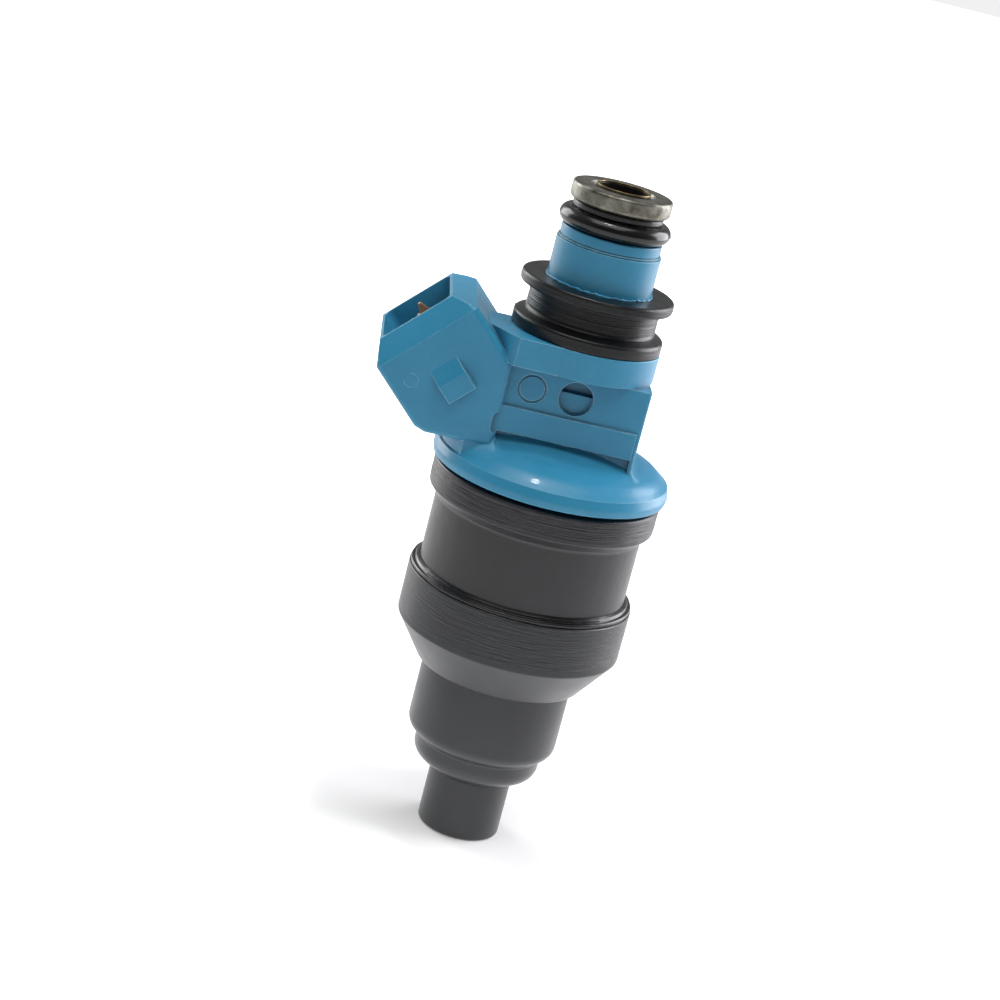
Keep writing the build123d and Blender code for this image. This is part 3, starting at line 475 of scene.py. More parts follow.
def rounded(corners: Profile, steps: int = 6) -> list[tuple[float, float]]:
    """Outline with its corners rounded.

    Args:
        corners: (r, z) or (r, z, radius) in mm.
        steps: straight pieces in each round.

    Returns:
        The dense outline as (r, z).
    """
    line: list[tuple[float, float]] = []
    count = len(corners)
    for i, corner in enumerate(corners):
        here = Vector(corner[:2])
        radius = corner[2] if len(corner) > 2 else 0.0
        if radius <= 0:
            line.append(tuple(here))
            continue
        back = (Vector(corners[i - 1][:2]) - here).normalized()
        ahead = (Vector(corners[(i + 1) % count][:2]) - here).normalized()
        half = back.angle(ahead) / 2
        centre = here + (back + ahead).normalized() * (radius / math.sin(half))
        start = here + back * (radius / math.tan(half)) - centre
        end = here + ahead * (radius / math.tan(half)) - centre
        sweep = start.angle_signed(end)
        for k in range(steps + 1):
            turn = -sweep * k / steps
            spoke = Vector((start.x * math.cos(turn) - start.y * math.sin(turn),
                            start.x * math.sin(turn) + start.y * math.cos(turn)))
            line.append(tuple(centre + spoke))
    return line


def new_object(name: str, data: bpy.types.ID) -> bpy.types.Object:
    """Links a new object.

    Args:
        name: the object's name.
        data: the mesh, curve, light or camera that it holds.

    Returns:
        The object.
    """
    made = bpy.data.objects.new(name, data)
    bpy.context.scene.collection.objects.link(made)
    return made


def lathe(name: str, corners: Profile, segments: int = 192, smooth: float = 32.0) -> bpy.types.Object:
    """Closed solid of revolution about Z.

    Args:
        name: the object's name.
        corners: closed outline, (r, z) or (r, z, radius) in mm, clear of the axis.
        segments: steps round the axis.
        smooth: edges sharper than this many degrees stay sharp.

    Returns:
        The new object.
    """
    outline = rounded(corners)
    shape = bmesh.new()
    rings = []
    for step in range(segments):
        angle = math.tau * step / segments
        rings.append([shape.verts.new((r * math.cos(angle) * MM, r * math.sin(angle) * MM, z * MM))
                      for r, z in outline])
    for step, ring in enumerate(rings):
        following = rings[(step + 1) % segments]
        for i in range(len(outline)):
            j = (i + 1) % len(outline)
            shape.faces.new((ring[i], following[i], following[j], ring[j]))
    bmesh.ops.remove_doubles(shape, verts=shape.verts, dist=1e-8)
    bmesh.ops.recalc_face_normals(shape, faces=shape.faces)
    mesh = bpy.data.meshes.new(name)
    shape.to_mesh(mesh)
    shape.free()
    mesh.shade_smooth()
    mesh.set_sharp_from_angle(angle=math.radians(smooth))
    return new_object(name, mesh)


def tube_along(name: str, paths: list[list[Point]], radius: float) -> bpy.types.Object:
    """Thin closed tubes along straight-sided paths.

    Args:
        name: the object's name.
        paths: lists of points in mm.
        radius: tube radius in mm.

    Returns:
        One mesh object that holds every tube.
    """
    data = bpy.data.curves.new(name, "CURVE")
    data.dimensions = "3D"
    data.bevel_depth = radius * MM
    data.bevel_resolution = 2
    data.use_fill_caps = True
    for path in paths:
        line = data.splines.new("POLY")
        line.points.add(len(path) - 1)
        for point, place in zip(line.points, path):
            point.co = (*(c * MM for c in place), 1.0)
    drawn = new_object(name + "_path", data)
    bpy.context.view_layer.update()
    seen = drawn.evaluated_get(bpy.context.evaluated_depsgraph_get())
    mesh = bpy.data.meshes.new_from_object(seen)
    bpy.data.objects.remove(drawn)
    mesh.shade_smooth()
    mesh.name = name
    return new_object(name, mesh)


def swept_strip(name: str, sections: list[list[Point]]) -> bpy.types.Object:
    """Closed solid through a row of sections that all have the same number of corners.

    Args:
        name: the object's name.
        sections: each section's corners in mm.

    Returns:
        The new object.
    """
    build = bmesh.new()
    rows = [[build.verts.new(Vector(corner) * MM) for corner in section] for section in sections]
    count = len(rows[0])
    for row, after in zip(rows, rows[1:]):
        for k in range(count):
            build.faces.new((row[k], row[(k + 1) % count], after[(k + 1) % count], after[k]))
    build.faces.new(rows[0])
    build.faces.new(list(reversed(rows[-1])))
    bmesh.ops.recalc_face_normals(build, faces=build.faces)
    mesh = bpy.data.meshes.new(name)
    build.to_mesh(mesh)
    build.free()
    mesh.set_sharp_from_angle(angle=math.radians(50))
    return new_object(name, mesh)


class Recipe(Wiring):
    """A Geometry Nodes tree with named inputs, and a way to turn it into a plain mesh."""

    def __init__(self, name: str, inputs: dict[str, str]) -> None:
        """Starts the tree.

        Args:
            name: the tree's name.
            inputs: input names and socket types. Finish, a material, is always added.
        """
        super().__init__(bpy.data.node_groups.new(name, "GeometryNodeTree"))
        face = self.tree.interface
        face.new_socket("Geometry", in_out="INPUT", socket_type="NodeSocketGeometry")
        for label, kind in {**inputs, "Finish": "NodeSocketMaterial"}.items():
            face.new_socket(label, in_out="INPUT", socket_type=kind)
        face.new_socket("Geometry", in_out="OUTPUT", socket_type="NodeSocketGeometry")
        self.given = {s.name: s for s in self.add("NodeGroupInput").outputs if s.name}

    def at_height(self, height: Value) -> bpy.types.NodeSocket:
        """Point on the axis at a height."""
        return self.add("ShaderNodeCombineXYZ", Z=height).outputs[0]

    def circle(self, radius: Value, resolution: int) -> bpy.types.NodeSocket:
        """Circle about the axis."""
        return self.add("GeometryNodeCurvePrimitiveCircle", Resolution=resolution, Radius=radius).outputs[0]

    def wire(self, path: Value, radius: Value, sides: int, **more: Value) -> bpy.types.NodeSocket:
        """Round wire along a path.

        Args:
            path: the curve it follows.
            radius: radius of its section.
            sides: sides of its section.
            **more: other inputs of the Curve to Mesh node.

        Returns:
            The wire's mesh.
        """
        return self.add("GeometryNodeCurveToMesh", Curve=path, Profile_Curve=self.circle(radius, sides),
                        **more).outputs[0]

    def row(self, low: Value, high: Value, count: Value) -> bpy.types.NodeSocket:
        """Row of points from one place to another."""
        return self.add("GeometryNodeMeshLine", {"mode": "END_POINTS"}, Count=count, Start_Location=low,
                        Offset=high).outputs[0]

    def placed(self, shape: Value, offset: Value) -> bpy.types.NodeSocket:
        """The shape with its points moved."""
        return self.add("GeometryNodeSetPosition", Geometry=shape, Offset=offset).outputs[0]

    def random(self, low: Value, high: Value, seed: Value) -> bpy.types.NodeSocket:
        """Random number for each point.

        Args:
            low: lowest value.
            high: highest value.
            seed: the seed.

        Returns:
            The number's socket.
        """
        pick = self.add("FunctionNodeRandomValue", {"data_type": "FLOAT"}, Seed=seed)
        float_inputs = ((2, low), (3, high))
        for number, value in float_inputs:
            self.feed(pick, number, value)
        return pick.outputs[1]

    def close(self, shape: bpy.types.NodeSocket) -> "Recipe":
        """Ends the tree: real geometry, smooth shading and its material.

        Args:
            shape: the geometry to put out.

        Returns:
            The finished recipe.
        """
        real = self.add("GeometryNodeRealizeInstances", Geometry=shape)
        smooth = self.add("GeometryNodeSetShadeSmooth", Geometry=real.outputs[0])
        dressed = self.add("GeometryNodeSetMaterial", Geometry=smooth.outputs[0],
                           Material=self.given["Finish"])
        self.add("NodeGroupOutput", Geometry=dressed.outputs[0])
        return self

    def grow(self, name: str, values: dict, material: bpy.types.Material,
             start: bpy.types.Object | None = None) -> bpy.types.Object:
        """Runs the tree and keeps the result as a plain mesh.

        Args:
            name: the piece's name.
            values: input values by name.
            material: the finish.
            start: object whose mesh the tree works on, or None for an empty one.

        Returns:
            The piece, with no modifier left on it.
        """
        piece = start or new_object(name, bpy.data.meshes.new(name))
        step = piece.modifiers.new("grow", "NODES")
        step.node_group = self.tree
        for item in self.tree.interface.items_tree:
            if item.in_out == "INPUT" and item.name in values:
                step[item.identifier] = values[item.name]
            elif item.in_out == "INPUT" and item.name == "Finish":
                step[item.identifier] = material
        bpy.context.view_layer.update()
        seen = piece.evaluated_get(bpy.context.evaluated_depsgraph_get())
        mesh = bpy.data.meshes.new_from_object(seen)
        piece.modifiers.remove(step)
        piece.data = mesh
        mesh.name = name
        return piece


def ring_stack_recipe() -> Recipe:
    """Thin rings stacked along the axis at slightly uneven heights and sizes.

    Returns:
        The recipe.
    """
    w = Recipe("ring stack", {"Radius": FLOAT, "Bottom": FLOAT, "Top": FLOAT, "Count": COUNT,
                              "Ridge": FLOAT, "Stray": FLOAT, "Spread": FLOAT, "Seed": COUNT})
    given = w.given
    line = w.row(w.at_height(given["Bottom"]), w.at_height(given["Top"]), given["Count"])
    shift = w.random(w.maths("MULTIPLY", given["Stray"], -1.0), given["Stray"], given["Seed"])
    ring = w.wire(w.circle(given["Radius"], 160), given["Ridge"], 6)
    size = w.random(w.maths("SUBTRACT", 1.0, given["Spread"]), w.maths("ADD", 1.0, given["Spread"]),
                    w.maths("ADD", given["Seed"], 7.0))
    scale = w.add("ShaderNodeCombineXYZ", X=size, Y=size, Z=1.0)
    rings = w.add("GeometryNodeInstanceOnPoints", Points=w.placed(line, w.at_height(shift)), Instance=ring,
                  Scale=scale.outputs[0])
    return w.close(rings.outputs[0])


def wound_wire_recipe() -> Recipe:
    """Round wire wound about the axis.

    Returns:
        The recipe.
    """
    w = Recipe("wound wire", {"Radius": FLOAT, "Bottom": FLOAT, "Height": FLOAT, "Turns": FLOAT,
                              "Wire": FLOAT, "Steps": COUNT})
    given = w.given
    path = w.add("GeometryNodeCurveSpiral", Resolution=given["Steps"], Rotations=given["Turns"],
                 Start_Radius=given["Radius"], End_Radius=given["Radius"], Height=given["Height"])
    wire = w.wire(path.outputs[0], given["Wire"], 8, Fill_Caps=True)
    lifted = w.add("GeometryNodeTransform", Geometry=wire, Translation=w.at_height(given["Bottom"]))
    return w.close(lifted.outputs[0])


def woven_sleeve_recipe() -> Recipe:
    """Round sleeve of crossing wires.

    Returns:
        The recipe.
    """
    w = Recipe("woven sleeve", {"Radius": FLOAT, "Bottom": FLOAT, "Height": FLOAT, "Hoops": COUNT,
                                "Uprights": COUNT, "Wire": FLOAT})
    given = w.given
    low = w.at_height(given["Bottom"])
    high = w.at_height(w.maths("ADD", given["Bottom"], given["Height"]))
    hoop = w.wire(w.circle(given["Radius"], 48), given["Wire"], 5)
    hoops = w.add("GeometryNodeInstanceOnPoints", Points=w.row(low, high, given["Hoops"]), Instance=hoop)
    upright = w.add("GeometryNodeCurvePrimitiveLine", Start=low, End=high).outputs[0]
    stem = w.wire(upright, given["Wire"], 5, Fill_Caps=True)
    around = w.add("GeometryNodeMeshCircle", Vertices=given["Uprights"], Radius=given["Radius"])
    stems = w.add("GeometryNodeInstanceOnPoints", Points=around.outputs[0], Instance=stem)
    both = w.add("GeometryNodeJoinGeometry")
    for part in (hoops, stems):
        w.feed(both, 0, part.outputs[0])
    return w.close(both.outputs[0])


def ragged_ring_recipe() -> Recipe:
    """Ring whose thickness and place wander, as the flash left where a mould closes.

    Returns:
        The recipe.
    """
    w = Recipe("ragged ring", {"Radius": FLOAT, "Level": FLOAT, "Thick": FLOAT, "Rough": FLOAT,
                               "Size": FLOAT, "Seed": FLOAT})
    given = w.given
    noise = w.add("ShaderNodeTexNoise", {"noise_dimensions": "4D"}, Scale=given["Size"], Detail=4.0,
                  Roughness=0.7, W=given["Seed"])
    swing = w.maths("MULTIPLY", w.maths("SUBTRACT", noise.outputs["Fac"], 0.5), given["Rough"])
    path = w.placed(w.circle(given["Radius"], 420), w.at_height(w.maths("ADD", swing, given["Level"])))
    other = w.add("ShaderNodeTexNoise", {"noise_dimensions": "4D"},
                  Scale=w.maths("MULTIPLY", given["Size"], 2.3), Detail=3.0, Roughness=0.7,
                  W=w.maths("ADD", given["Seed"], 5.0))
    width = w.add("ShaderNodeMapRange", Value=other.outputs["Fac"], From_Min=0.38, From_Max=0.68,
                  To_Min=0.25, To_Max=1.0)
    return w.close(w.wire(path, given["Thick"], 8, Scale=width.outputs["Result"]))


def hand_laid_recipe() -> Recipe:
    """Makes a true ring uneven, as a bead of lacquer laid by hand.

    Returns:
        The recipe.
    """
    w = Recipe("hand laid", {"Rough": FLOAT, "Size": FLOAT})
    noise = w.add("ShaderNodeTexNoise", Scale=w.given["Size"], Detail=2.0)
    swing = w.maths("MULTIPLY", w.maths("SUBTRACT", noise.outputs["Fac"], 0.55), w.given["Rough"])
    way = w.add("ShaderNodeVectorMath", {"operation": "SCALE"},
                Vector=w.add("GeometryNodeInputNormal").outputs[0], Scale=swing)
    return w.close(w.placed(w.given["Geometry"], way.outputs[0]))


class Workshop:
    """Holds the materials and the recipes, and hands finished pieces to the frame."""

    def __init__(self) -> None:
        """Builds every recipe; materials are built as they are asked for."""
        self.materials: dict[str, bpy.types.Material] = {}
        self.ring_stack = ring_stack_recipe()
        self.wound_wire = wound_wire_recipe()
        self.woven_sleeve = woven_sleeve_recipe()
        self.ragged_ring = ragged_ring_recipe()
        self.hand_laid = hand_laid_recipe()

    def material(self, finish: Finish) -> bpy.types.Material:
        """The material of a finish, built once.

        Args:
            finish: the finish.

        Returns:
            Its material.
        """
        if finish.slot not in self.materials:
            self.materials[finish.slot] = finish.build()
        return self.materials[finish.slot]

    def dress(self, node: str, finish: Finish) -> None:
        """Gives a CAD node its finish.

        Args:
            node: the node's name.
            finish: what it is dressed in.
        """
        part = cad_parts[node]
        if not part.material_slots:
            part.data.materials.append(None)
        for place in part.material_slots:
            place.material = self.material(finish)
        LOG.info("dressed %s in %s", node, finish.slot)

    def hand_over(self, piece: bpy.types.Object, finish: Finish, body: str = "injector",
                  instead_of: tuple[str, ...] = ()) -> bpy.types.Object:
        """Gives a new piece its finish, its body and the nodes it stands for.

        Args:
            piece: the new piece.
            finish: what it is dressed in.
            body: the body it moves with.
            instead_of: CAD nodes it replaces.

        Returns:
            The same piece.
        """
        piece.data.materials.clear()
        piece.data.materials.append(self.material(finish))
        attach(piece, body)
        if instead_of:
            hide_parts(*instead_of)
        LOG.info("made %s: %d faces on %s", piece.name, len(piece.data.polygons), body)
        return piece


    def grow(self, recipe: Recipe, name: str, finish: Finish, lengths: dict[str, float],
             values: dict[str, float], instead_of: tuple[str, ...] = (),
             start: bpy.types.Object | None = None) -> bpy.types.Object:
        """Grows a piece from a recipe and hands it over.

        Args:
            recipe: the recipe.
            name: the piece's name.
            finish: what it is dressed in.
            lengths: the recipe's inputs that are in mm.
            values: its other inputs.
            instead_of: CAD nodes it replaces.
            start: object whose mesh the recipe works on, or None for an empty one.

        Returns:
            The piece.
        """
        inputs = {**values, **{label: length * MM for label, length in lengths.items()}}
        piece = recipe.grow(name, inputs, self.material(finish), start)
        return self.hand_over(piece, finish, instead_of=instead_of)


@dataclass
class Assembly:
    """One sub-assembly. Its own sizes are in mm."""

    shop: Workshop


@dataclass
class InletEnd(Assembly):
    """Steel rail flange, filter and the seals under the flange."""

    gauze_radius: float = 2.21
    gauze_bottom: float = 59.2
    gauze_height: float = 9.9
    gauze_wire: float = 0.035
    gauze_hoops: int = 66
    gauze_uprights: int = 56
    ring_centre: float = 4.90
    ring_minor: float = 0.95
    ring_level: float = 68.86
    flash_thick: float = 0.035
    lip_bore: float = 2.52
    lip_radius: float = 2.84
    lip_top: float = 72.55
    lip_bottom: float = 72.37
    rim_bottom: float = 70.20

    def build(self) -> None:
        """Dresses the inlet and makes the gauze and the seal."""
        self.shop.dress("inlet_core", INLET_STEEL)
        self.shop.dress("filter_cage", FILTER_PLASTIC)
        self.shop.dress("backup_ring", BLACK_PLASTIC)
        self.gauze()
        self.filter_rim()
        self.seal()

    def gauze(self) -> None:
        """Weaves the filter's gauze sleeve."""
        self.shop.grow(self.shop.woven_sleeve, "filter_gauze_sleeve", FILTER_GAUZE,
                       {"Radius": self.gauze_radius, "Bottom": self.gauze_bottom,
                        "Height": self.gauze_height, "Wire": self.gauze_wire},
                       {"Hoops": self.gauze_hoops, "Uprights": self.gauze_uprights}, ("filter_mesh",))

    def filter_rim(self) -> None:
        """Turns the filter's rim, dark as painted shade, and the thin bright lip on it."""
        # painted shade: the metal rim inside the bore is given a dark finish, with only its top lip in metal
        rim = lathe("filter_rim_shade_painted", [
            (self.lip_bore, self.rim_bottom), (self.lip_radius, self.rim_bottom),
            (self.lip_radius, self.lip_bottom - 0.02), (self.lip_bore, self.lip_bottom - 0.02)], 96)
        self.shop.hand_over(rim, FILTER_PLASTIC, instead_of=("filter_rim",))
        lip = lathe("filter_lip", [
            (self.lip_bore + 0.10, self.lip_bottom), (self.lip_radius, self.lip_bottom),
            (self.lip_radius, self.lip_top, 0.05), (self.lip_bore + 0.10, self.lip_top, 0.05)], 128)
        self.shop.hand_over(lip, FILTER_METAL)

    def seal(self) -> None:
        """Turns the round seal with the mould line round its outside."""
        outline: Profile = []
        steps = 44
        for i in range(steps):
            angle = math.tau * i / steps
            proud = self.flash_thick if i == 0 else 0.0
            reach = self.ring_minor - self.flash_thick + proud
            outline.append((self.ring_centre + reach * math.cos(angle),
                            self.ring_level + reach * math.sin(angle)))
        piece = lathe("round_seal", outline, smooth=60.0)
        self.shop.hand_over(piece, SEAL_RUBBER, instead_of=("upper_o_ring",))


@dataclass
class Connector(Assembly):
    """Blue moulding with its plug shroud, terminals and the marks its mould left."""

    plug_v: float = -8.38
    band_u: float = 14.48
    rim_u: float = 16.57
    band_half_v: float = 5.98
    rim_half_v: float = 4.275
    half_y: float = 6.80
    web_top: float = 56.71
    line_y: float = -1.0
    line_radius: float = 0.045
    neck_radius: float = 5.49
    neck_top: float = 66.35
    flash_level: float = 62.33
    flash_thick: float = 0.22
    flash_rough: float = 0.55
    flash_size: float = 850.0
    dome: tuple[tuple[float, float], ...] = ((0.0, 46.2), (6.6, 45.25), (9.0, 44.85), (11.0, 44.15),
                                             (12.38, 43.12))
    cove_stations: tuple[tuple[float, ...], ...] = (
        (-10.0, -6.58, -10.3, -6.70, 0.10), (-8.8, -6.58, -8.9, -7.60, 0.60),
        (-7.5, -6.58, -7.2, -8.30, 0.90), (-7.10, -6.35, -6.3, -8.50, 1.05),
        (-7.05, -5.75, -5.6, -8.60, 1.10), (-6.6, -5.42, -4.9, -8.65, 1.10),
        (-2.0, -5.42, -2.0, -8.70, 1.10), (3.0, -5.42, 3.0, -8.20, 0.90),
        (6.0, -5.42, 6.3, -7.50, 0.55), (6.95, -5.42, 7.6, -7.10, 0.45),
        (7.40, -5.75, 8.5, -6.40, 0.40), (7.47, -5.0, 8.9, -5.20, 0.45), (7.47, 0.0, 8.9, 0.0, 0.45))
    cove_steps: int = 6
    cove_sunk: float = 0.03

    def build(self) -> None:
        """Dresses the moulding and adds its foot, parting line, marks and flash."""
        self.shop.dress("connector_body", BLUE)
        for node in ("terminal_front", "terminal_back"):
            self.shop.dress(node, COPPER)
        self.shop.hand_over(tube_along("parting_lines", self.parting_lines(), self.line_radius), BLUE)
        self.shop.hand_over(tube_along("mould_marks", self.mould_marks(), 0.04), BLUE)
        self.shop.hand_over(swept_strip("moulded_cove", self.cove_sections()), BLUE)
        self.flash()

    def dome_level(self, x: float, y: float) -> float:
        """Height of the dome's top under a point.

        Args:
            x: the point's x in mm.
            y: the point's y in mm.

        Returns:
            The height in mm.
        """
        reach = math.hypot(x, y)
        for (r0, z0), (r1, z1) in zip(self.dome, self.dome[1:]):
            if reach <= r1:
                return z0 + (z1 - z0) * (reach - r0) / (r1 - r0)
        return self.dome[-1][1]

    def cove_sections(self) -> list[list[Point]]:
        """Sections of the hollow curve that joins the slab and the shroud's foot to the dome.

        Returns:
            Each section's corners, in order round the slab.
        """
        front = [Vector(station) for station in self.cove_stations]
        back = [Vector((s[0], -s[1], s[2], -s[3], s[4])) for s in self.cove_stations[-2::-1]]
        points = front + back
        sections = []
        for i in range(len(points) - 1):
            before, after = points[max(i - 1, 0)], points[min(i + 2, len(points) - 1)]
            for k in range(self.cove_steps):
                sections.append(self.cove_section(
                    self.between(before, points[i], points[i + 1], after, k / self.cove_steps)))
        sections.append(self.cove_section(points[-1]))
        return sections

    @staticmethod
    def between(a: Vector, b: Vector, c: Vector, d: Vector, t: float) -> Vector:
        """Smooth step between two points of a row.

        Args:
            a: the point before.
            b: the point it leaves.
            c: the point it reaches.
            d: the point after.
            t: how far along, 0 to 1.

        Returns:
            The point on the way.
        """
        return ((b * 2) + (c - a) * t + (a * 2 - b * 5 + c * 4 - d) * t * t
                + (b * 3 - a - c * 3 + d) * t * t * t) * 0.5

    def cove_section(self, station: Vector) -> list[Point]:
        """One section of the cove, from the upright face out to the dome and back underneath.

        Args:
            station: the inner point, the outer point and the rise, in mm.

        Returns:
            The section's corners.
        """
        ax, ay, bx, by, rise = station
        low = self.dome_level(bx, by) - self.cove_sunk
        foot = self.dome_level(ax, ay)
        cx, cy, cz = ax + (bx - ax) * 0.15, ay + (by - ay) * 0.15, foot + 0.08
        curve = []
        for k in range(self.cove_steps + 3):
            t = k / (self.cove_steps + 2)
            near, turn, far = (1 - t) ** 2, 2 * t * (1 - t), t * t
            curve.append((near * ax + turn * cx + far * bx, near * ay + turn * cy + far * by,
                          near * (foot + rise) + turn * cz + far * low))
        return curve + [(bx, by, low - 0.25), (ax, ay, foot - 0.25)]

    def parting_lines(self) -> list[list[Point]]:
        """Where the mould's halves met: over the shroud and web, and down both sides of the neck.

        Returns:
            The lines' points in mm.
        """
        sunk = self.line_radius * 0.45
        rim = at_uv(self.rim_u, self.plug_v + self.rim_half_v - sunk)
        band = at_uv(self.band_u, self.plug_v + self.band_half_v - sunk)
        top_v = self.plug_v + self.band_half_v - sunk
        web_x = top_v * LEAN * 2 - (self.web_top - sunk - PLUG_LEVEL)
        over = [(rim[0], self.line_y, rim[1]), (band[0], self.line_y, band[1]),
                (web_x, self.line_y, self.web_top - sunk), (-8.0, self.line_y, self.web_top - sunk)]
        neck = [[(side * (self.neck_radius - sunk), 0.0, self.flash_level),
                 (side * (self.neck_radius - sunk), 0.0, self.neck_top)] for side in (-1, 1)]
        return [over, *neck]

    def mould_marks(self) -> list[list[Point]]:
        """Faint round ejector marks on the flat sides."""
        return [self.arc(-16.7, 49.7, 0.72, 200, 470, side * (self.half_y - 0.025)) for side in (-1, 1)]

    @staticmethod
    def arc(x: float, z: float, radius: float, start: float, end: float, y: float) -> list[Point]:
        """Points along an arc in an XZ plane.

        Args:
            x: centre's x in mm.
            z: centre's z in mm.
            radius: radius in mm.
            start: first angle in degrees.
            end: last angle in degrees.
            y: the plane's y in mm.

        Returns:
            The points.
        """
        turns = [math.radians(start + (end - start) * k / 40) for k in range(41)]
        return [(x + radius * math.cos(t), y, z + radius * math.sin(t)) for t in turns]

    def flash(self) -> None:
        """Ragged edge where the moulding squeezed out at the foot of the neck."""
        self.shop.grow(self.shop.ragged_ring, "neck_flash", BLUE,
                       {"Radius": self.neck_radius + 0.03, "Level": self.flash_level,
                        "Thick": self.flash_thick, "Rough": self.flash_rough},
                       {"Size": self.flash_size, "Seed": 3.0})


@dataclass
class Spool(Assembly):
    """Rubber spool with the rings its mould left."""

    waist_radius: float = 6.76
    flange_radius: float = 8.02
    waist_rings: int = 12

    def build(self) -> None:
        """Dresses the spool and adds its rings."""
        self.shop.dress("grommet", GROMMET_RUBBER)
        self.rings("spool_waist_rings", self.waist_radius, (58.95, 60.95), self.waist_rings, 0.10, 3)
        self.rings("spool_flange_rings", self.flange_radius - 0.01, (61.45, 62.05), 4, 0.06, 8)

    def rings(self, name: str, radius: float, span: tuple[float, float], count: int,
              ridge: float, seed: int) -> None:
        """Stacks fine rings on one face of the spool.

        Args:
            name: the piece's name.
            radius: radius of the face in mm.
            span: lowest and highest ring in mm.
            count: number of rings.
            ridge: radius of one ring's section in mm.
            seed: seed for their small differences.
        """
        self.shop.grow(self.shop.ring_stack, name, GROMMET_RUBBER,
                       {"Radius": radius - ridge * 0.45, "Bottom": span[0], "Top": span[1],
                        "Ridge": ridge, "Stray": 0.05}, {"Count": count, "Spread": 0.004, "Seed": seed})


@dataclass
class MagnetBody(Assembly):
    """Black steel housing, its coil and the bead that seals it to the lower body."""

    collar_radius: float = 12.12
    winding_radius: float = 8.70
    winding_bottom: float = 28.24
    winding_height: float = 8.32
    wire: float = 0.12
    collar_span: tuple[float, float] = (38.45, 40.65)
    collar_lines: int = 13
    collar_ridge: float = 0.07
    bead_profile: Profile = field(default_factory=lambda: [
        (11.17, 28.90), (12.02, 28.90, 0.15), (12.02, 29.32, 0.20), (11.62, 29.38, 0.08),
        (11.54, 29.62, 0.16), (11.17, 29.80)])

    def build(self) -> None:
        """Dresses the housing and makes its coil, bead and turned lines."""
        self.shop.dress("housing_shell", HOUSING_BLACK)
        self.shop.dress("coil_bobbin", BOBBIN_PLASTIC)
        for node in ("bobbin_upper_ring", "bobbin_lower_ring"):
            self.shop.dress(node, SEAL_RUBBER)
        self.shop.dress("adjusting_tube", INNER_STEEL)
        self.winding()
        self.bead()
        self.collar()

    def winding(self) -> None:
        """Winds the coil's outer layer over its inner turns."""
        core = lathe("winding_inner_turns", [(4.93, 28.14), (8.52, 28.14), (8.52, 36.66), (4.93, 36.66)], 96)
        self.shop.hand_over(core, WINDING_COPPER, instead_of=("coil_winding",))
        turns = self.winding_height / (2 * self.wire)
        self.shop.grow(self.shop.wound_wire, "winding_outer_layer", WINDING_COPPER,
                       {"Radius": self.winding_radius - self.wire, "Bottom": self.winding_bottom,
                        "Height": self.winding_height, "Wire": self.wire}, {"Turns": turns, "Steps": 64})

    def collar(self) -> None:
        """Raises the tool marks round the crimped collar."""
        self.shop.grow(self.shop.ring_stack, "collar_tool_marks", HOUSING_BLACK,
                       {"Radius": self.collar_radius - self.collar_ridge * 0.6,
                        "Bottom": self.collar_span[0], "Top": self.collar_span[1],
                        "Ridge": self.collar_ridge, "Stray": 0.07},
                       {"Count": self.collar_lines, "Spread": 0.0016, "Seed": 11})

    def bead(self) -> None:
        """Lays the glossy bead over the joint."""
        ring = lathe("sealing_bead_laid", self.bead_profile, 360, 80.0)
        self.shop.grow(self.shop.hand_laid, "sealing_bead_laid", BEAD_LACQUER, {"Rough": 0.16},
                       {"Size": 420.0}, ("sealing_bead",), ring)


@dataclass
class ValveEnd(Assembly):
    """Lower body, nozzle cap and the parts that meter the fuel."""

    spring_radius: float = 1.52
    spring_wire: float = 0.21
    spring_bottom: float = 24.63
    spring_height: float = 8.15
    spring_turns: float = 7.0
    spring_anchor: float = 33.0
    lift: float = 0.1

    def build(self) -> None:
        """Dresses the lower half and winds the return spring."""
        self.shop.dress("lower_body", LOWER_BLACK)
        self.shop.dress("nozzle_cap", CAP_BLACK)
        for node in ("valve_body", "stop_plate", "lift_spacer"):
            self.shop.dress(node, INNER_STEEL)
        for node in ("armature", "needle_valve"):
            self.shop.dress(node, POLISHED_STEEL)
        self.shop.dress("valve_body_ring", SEAL_RUBBER)
        piece = self.shop.grow(self.shop.wound_wire, "return_spring_wire", SPRING_STEEL,
                               {"Radius": self.spring_radius, "Bottom": self.spring_bottom,
                                "Height": self.spring_height, "Wire": self.spring_wire},
                               {"Turns": self.spring_turns, "Steps": 48}, ("return_spring",))
        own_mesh(piece)


@dataclass(frozen=True)
class Softbox:
    """One rectangular studio light. Angles are about the object, azimuth rightwards from the camera."""

    name: str
    azimuth: float
    height: float
    distance: float
    width: float
    tall: float
    power: float
    colour: Colour = (1.0, 1.0, 1.0)
    reflects: bool = True

    def place(self, camera_azimuth: float, target: Vector) -> None:
        """Hangs the light so that it faces the target.

        Args:
            camera_azimuth: the camera's direction in degrees from -Y towards +X.
            target: point that it faces.
        """
        data = bpy.data.lights.new(self.name, "AREA")
        data.shape = "RECTANGLE"
        data.size, data.size_y = self.width, self.tall
        data.energy, data.color = self.power, self.colour
        lamp = new_object(self.name, data)
        lamp.visible_glossy = self.reflects
        turn = math.radians(camera_azimuth + self.azimuth)
        flat = self.distance * math.cos(math.radians(self.height))
        lamp.location = target + Vector((flat * math.sin(turn), -flat * math.cos(turn),
                                         self.distance * math.sin(math.radians(self.height))))
        lamp.rotation_euler = (target - lamp.location).to_track_quat("-Z", "Y").to_euler()


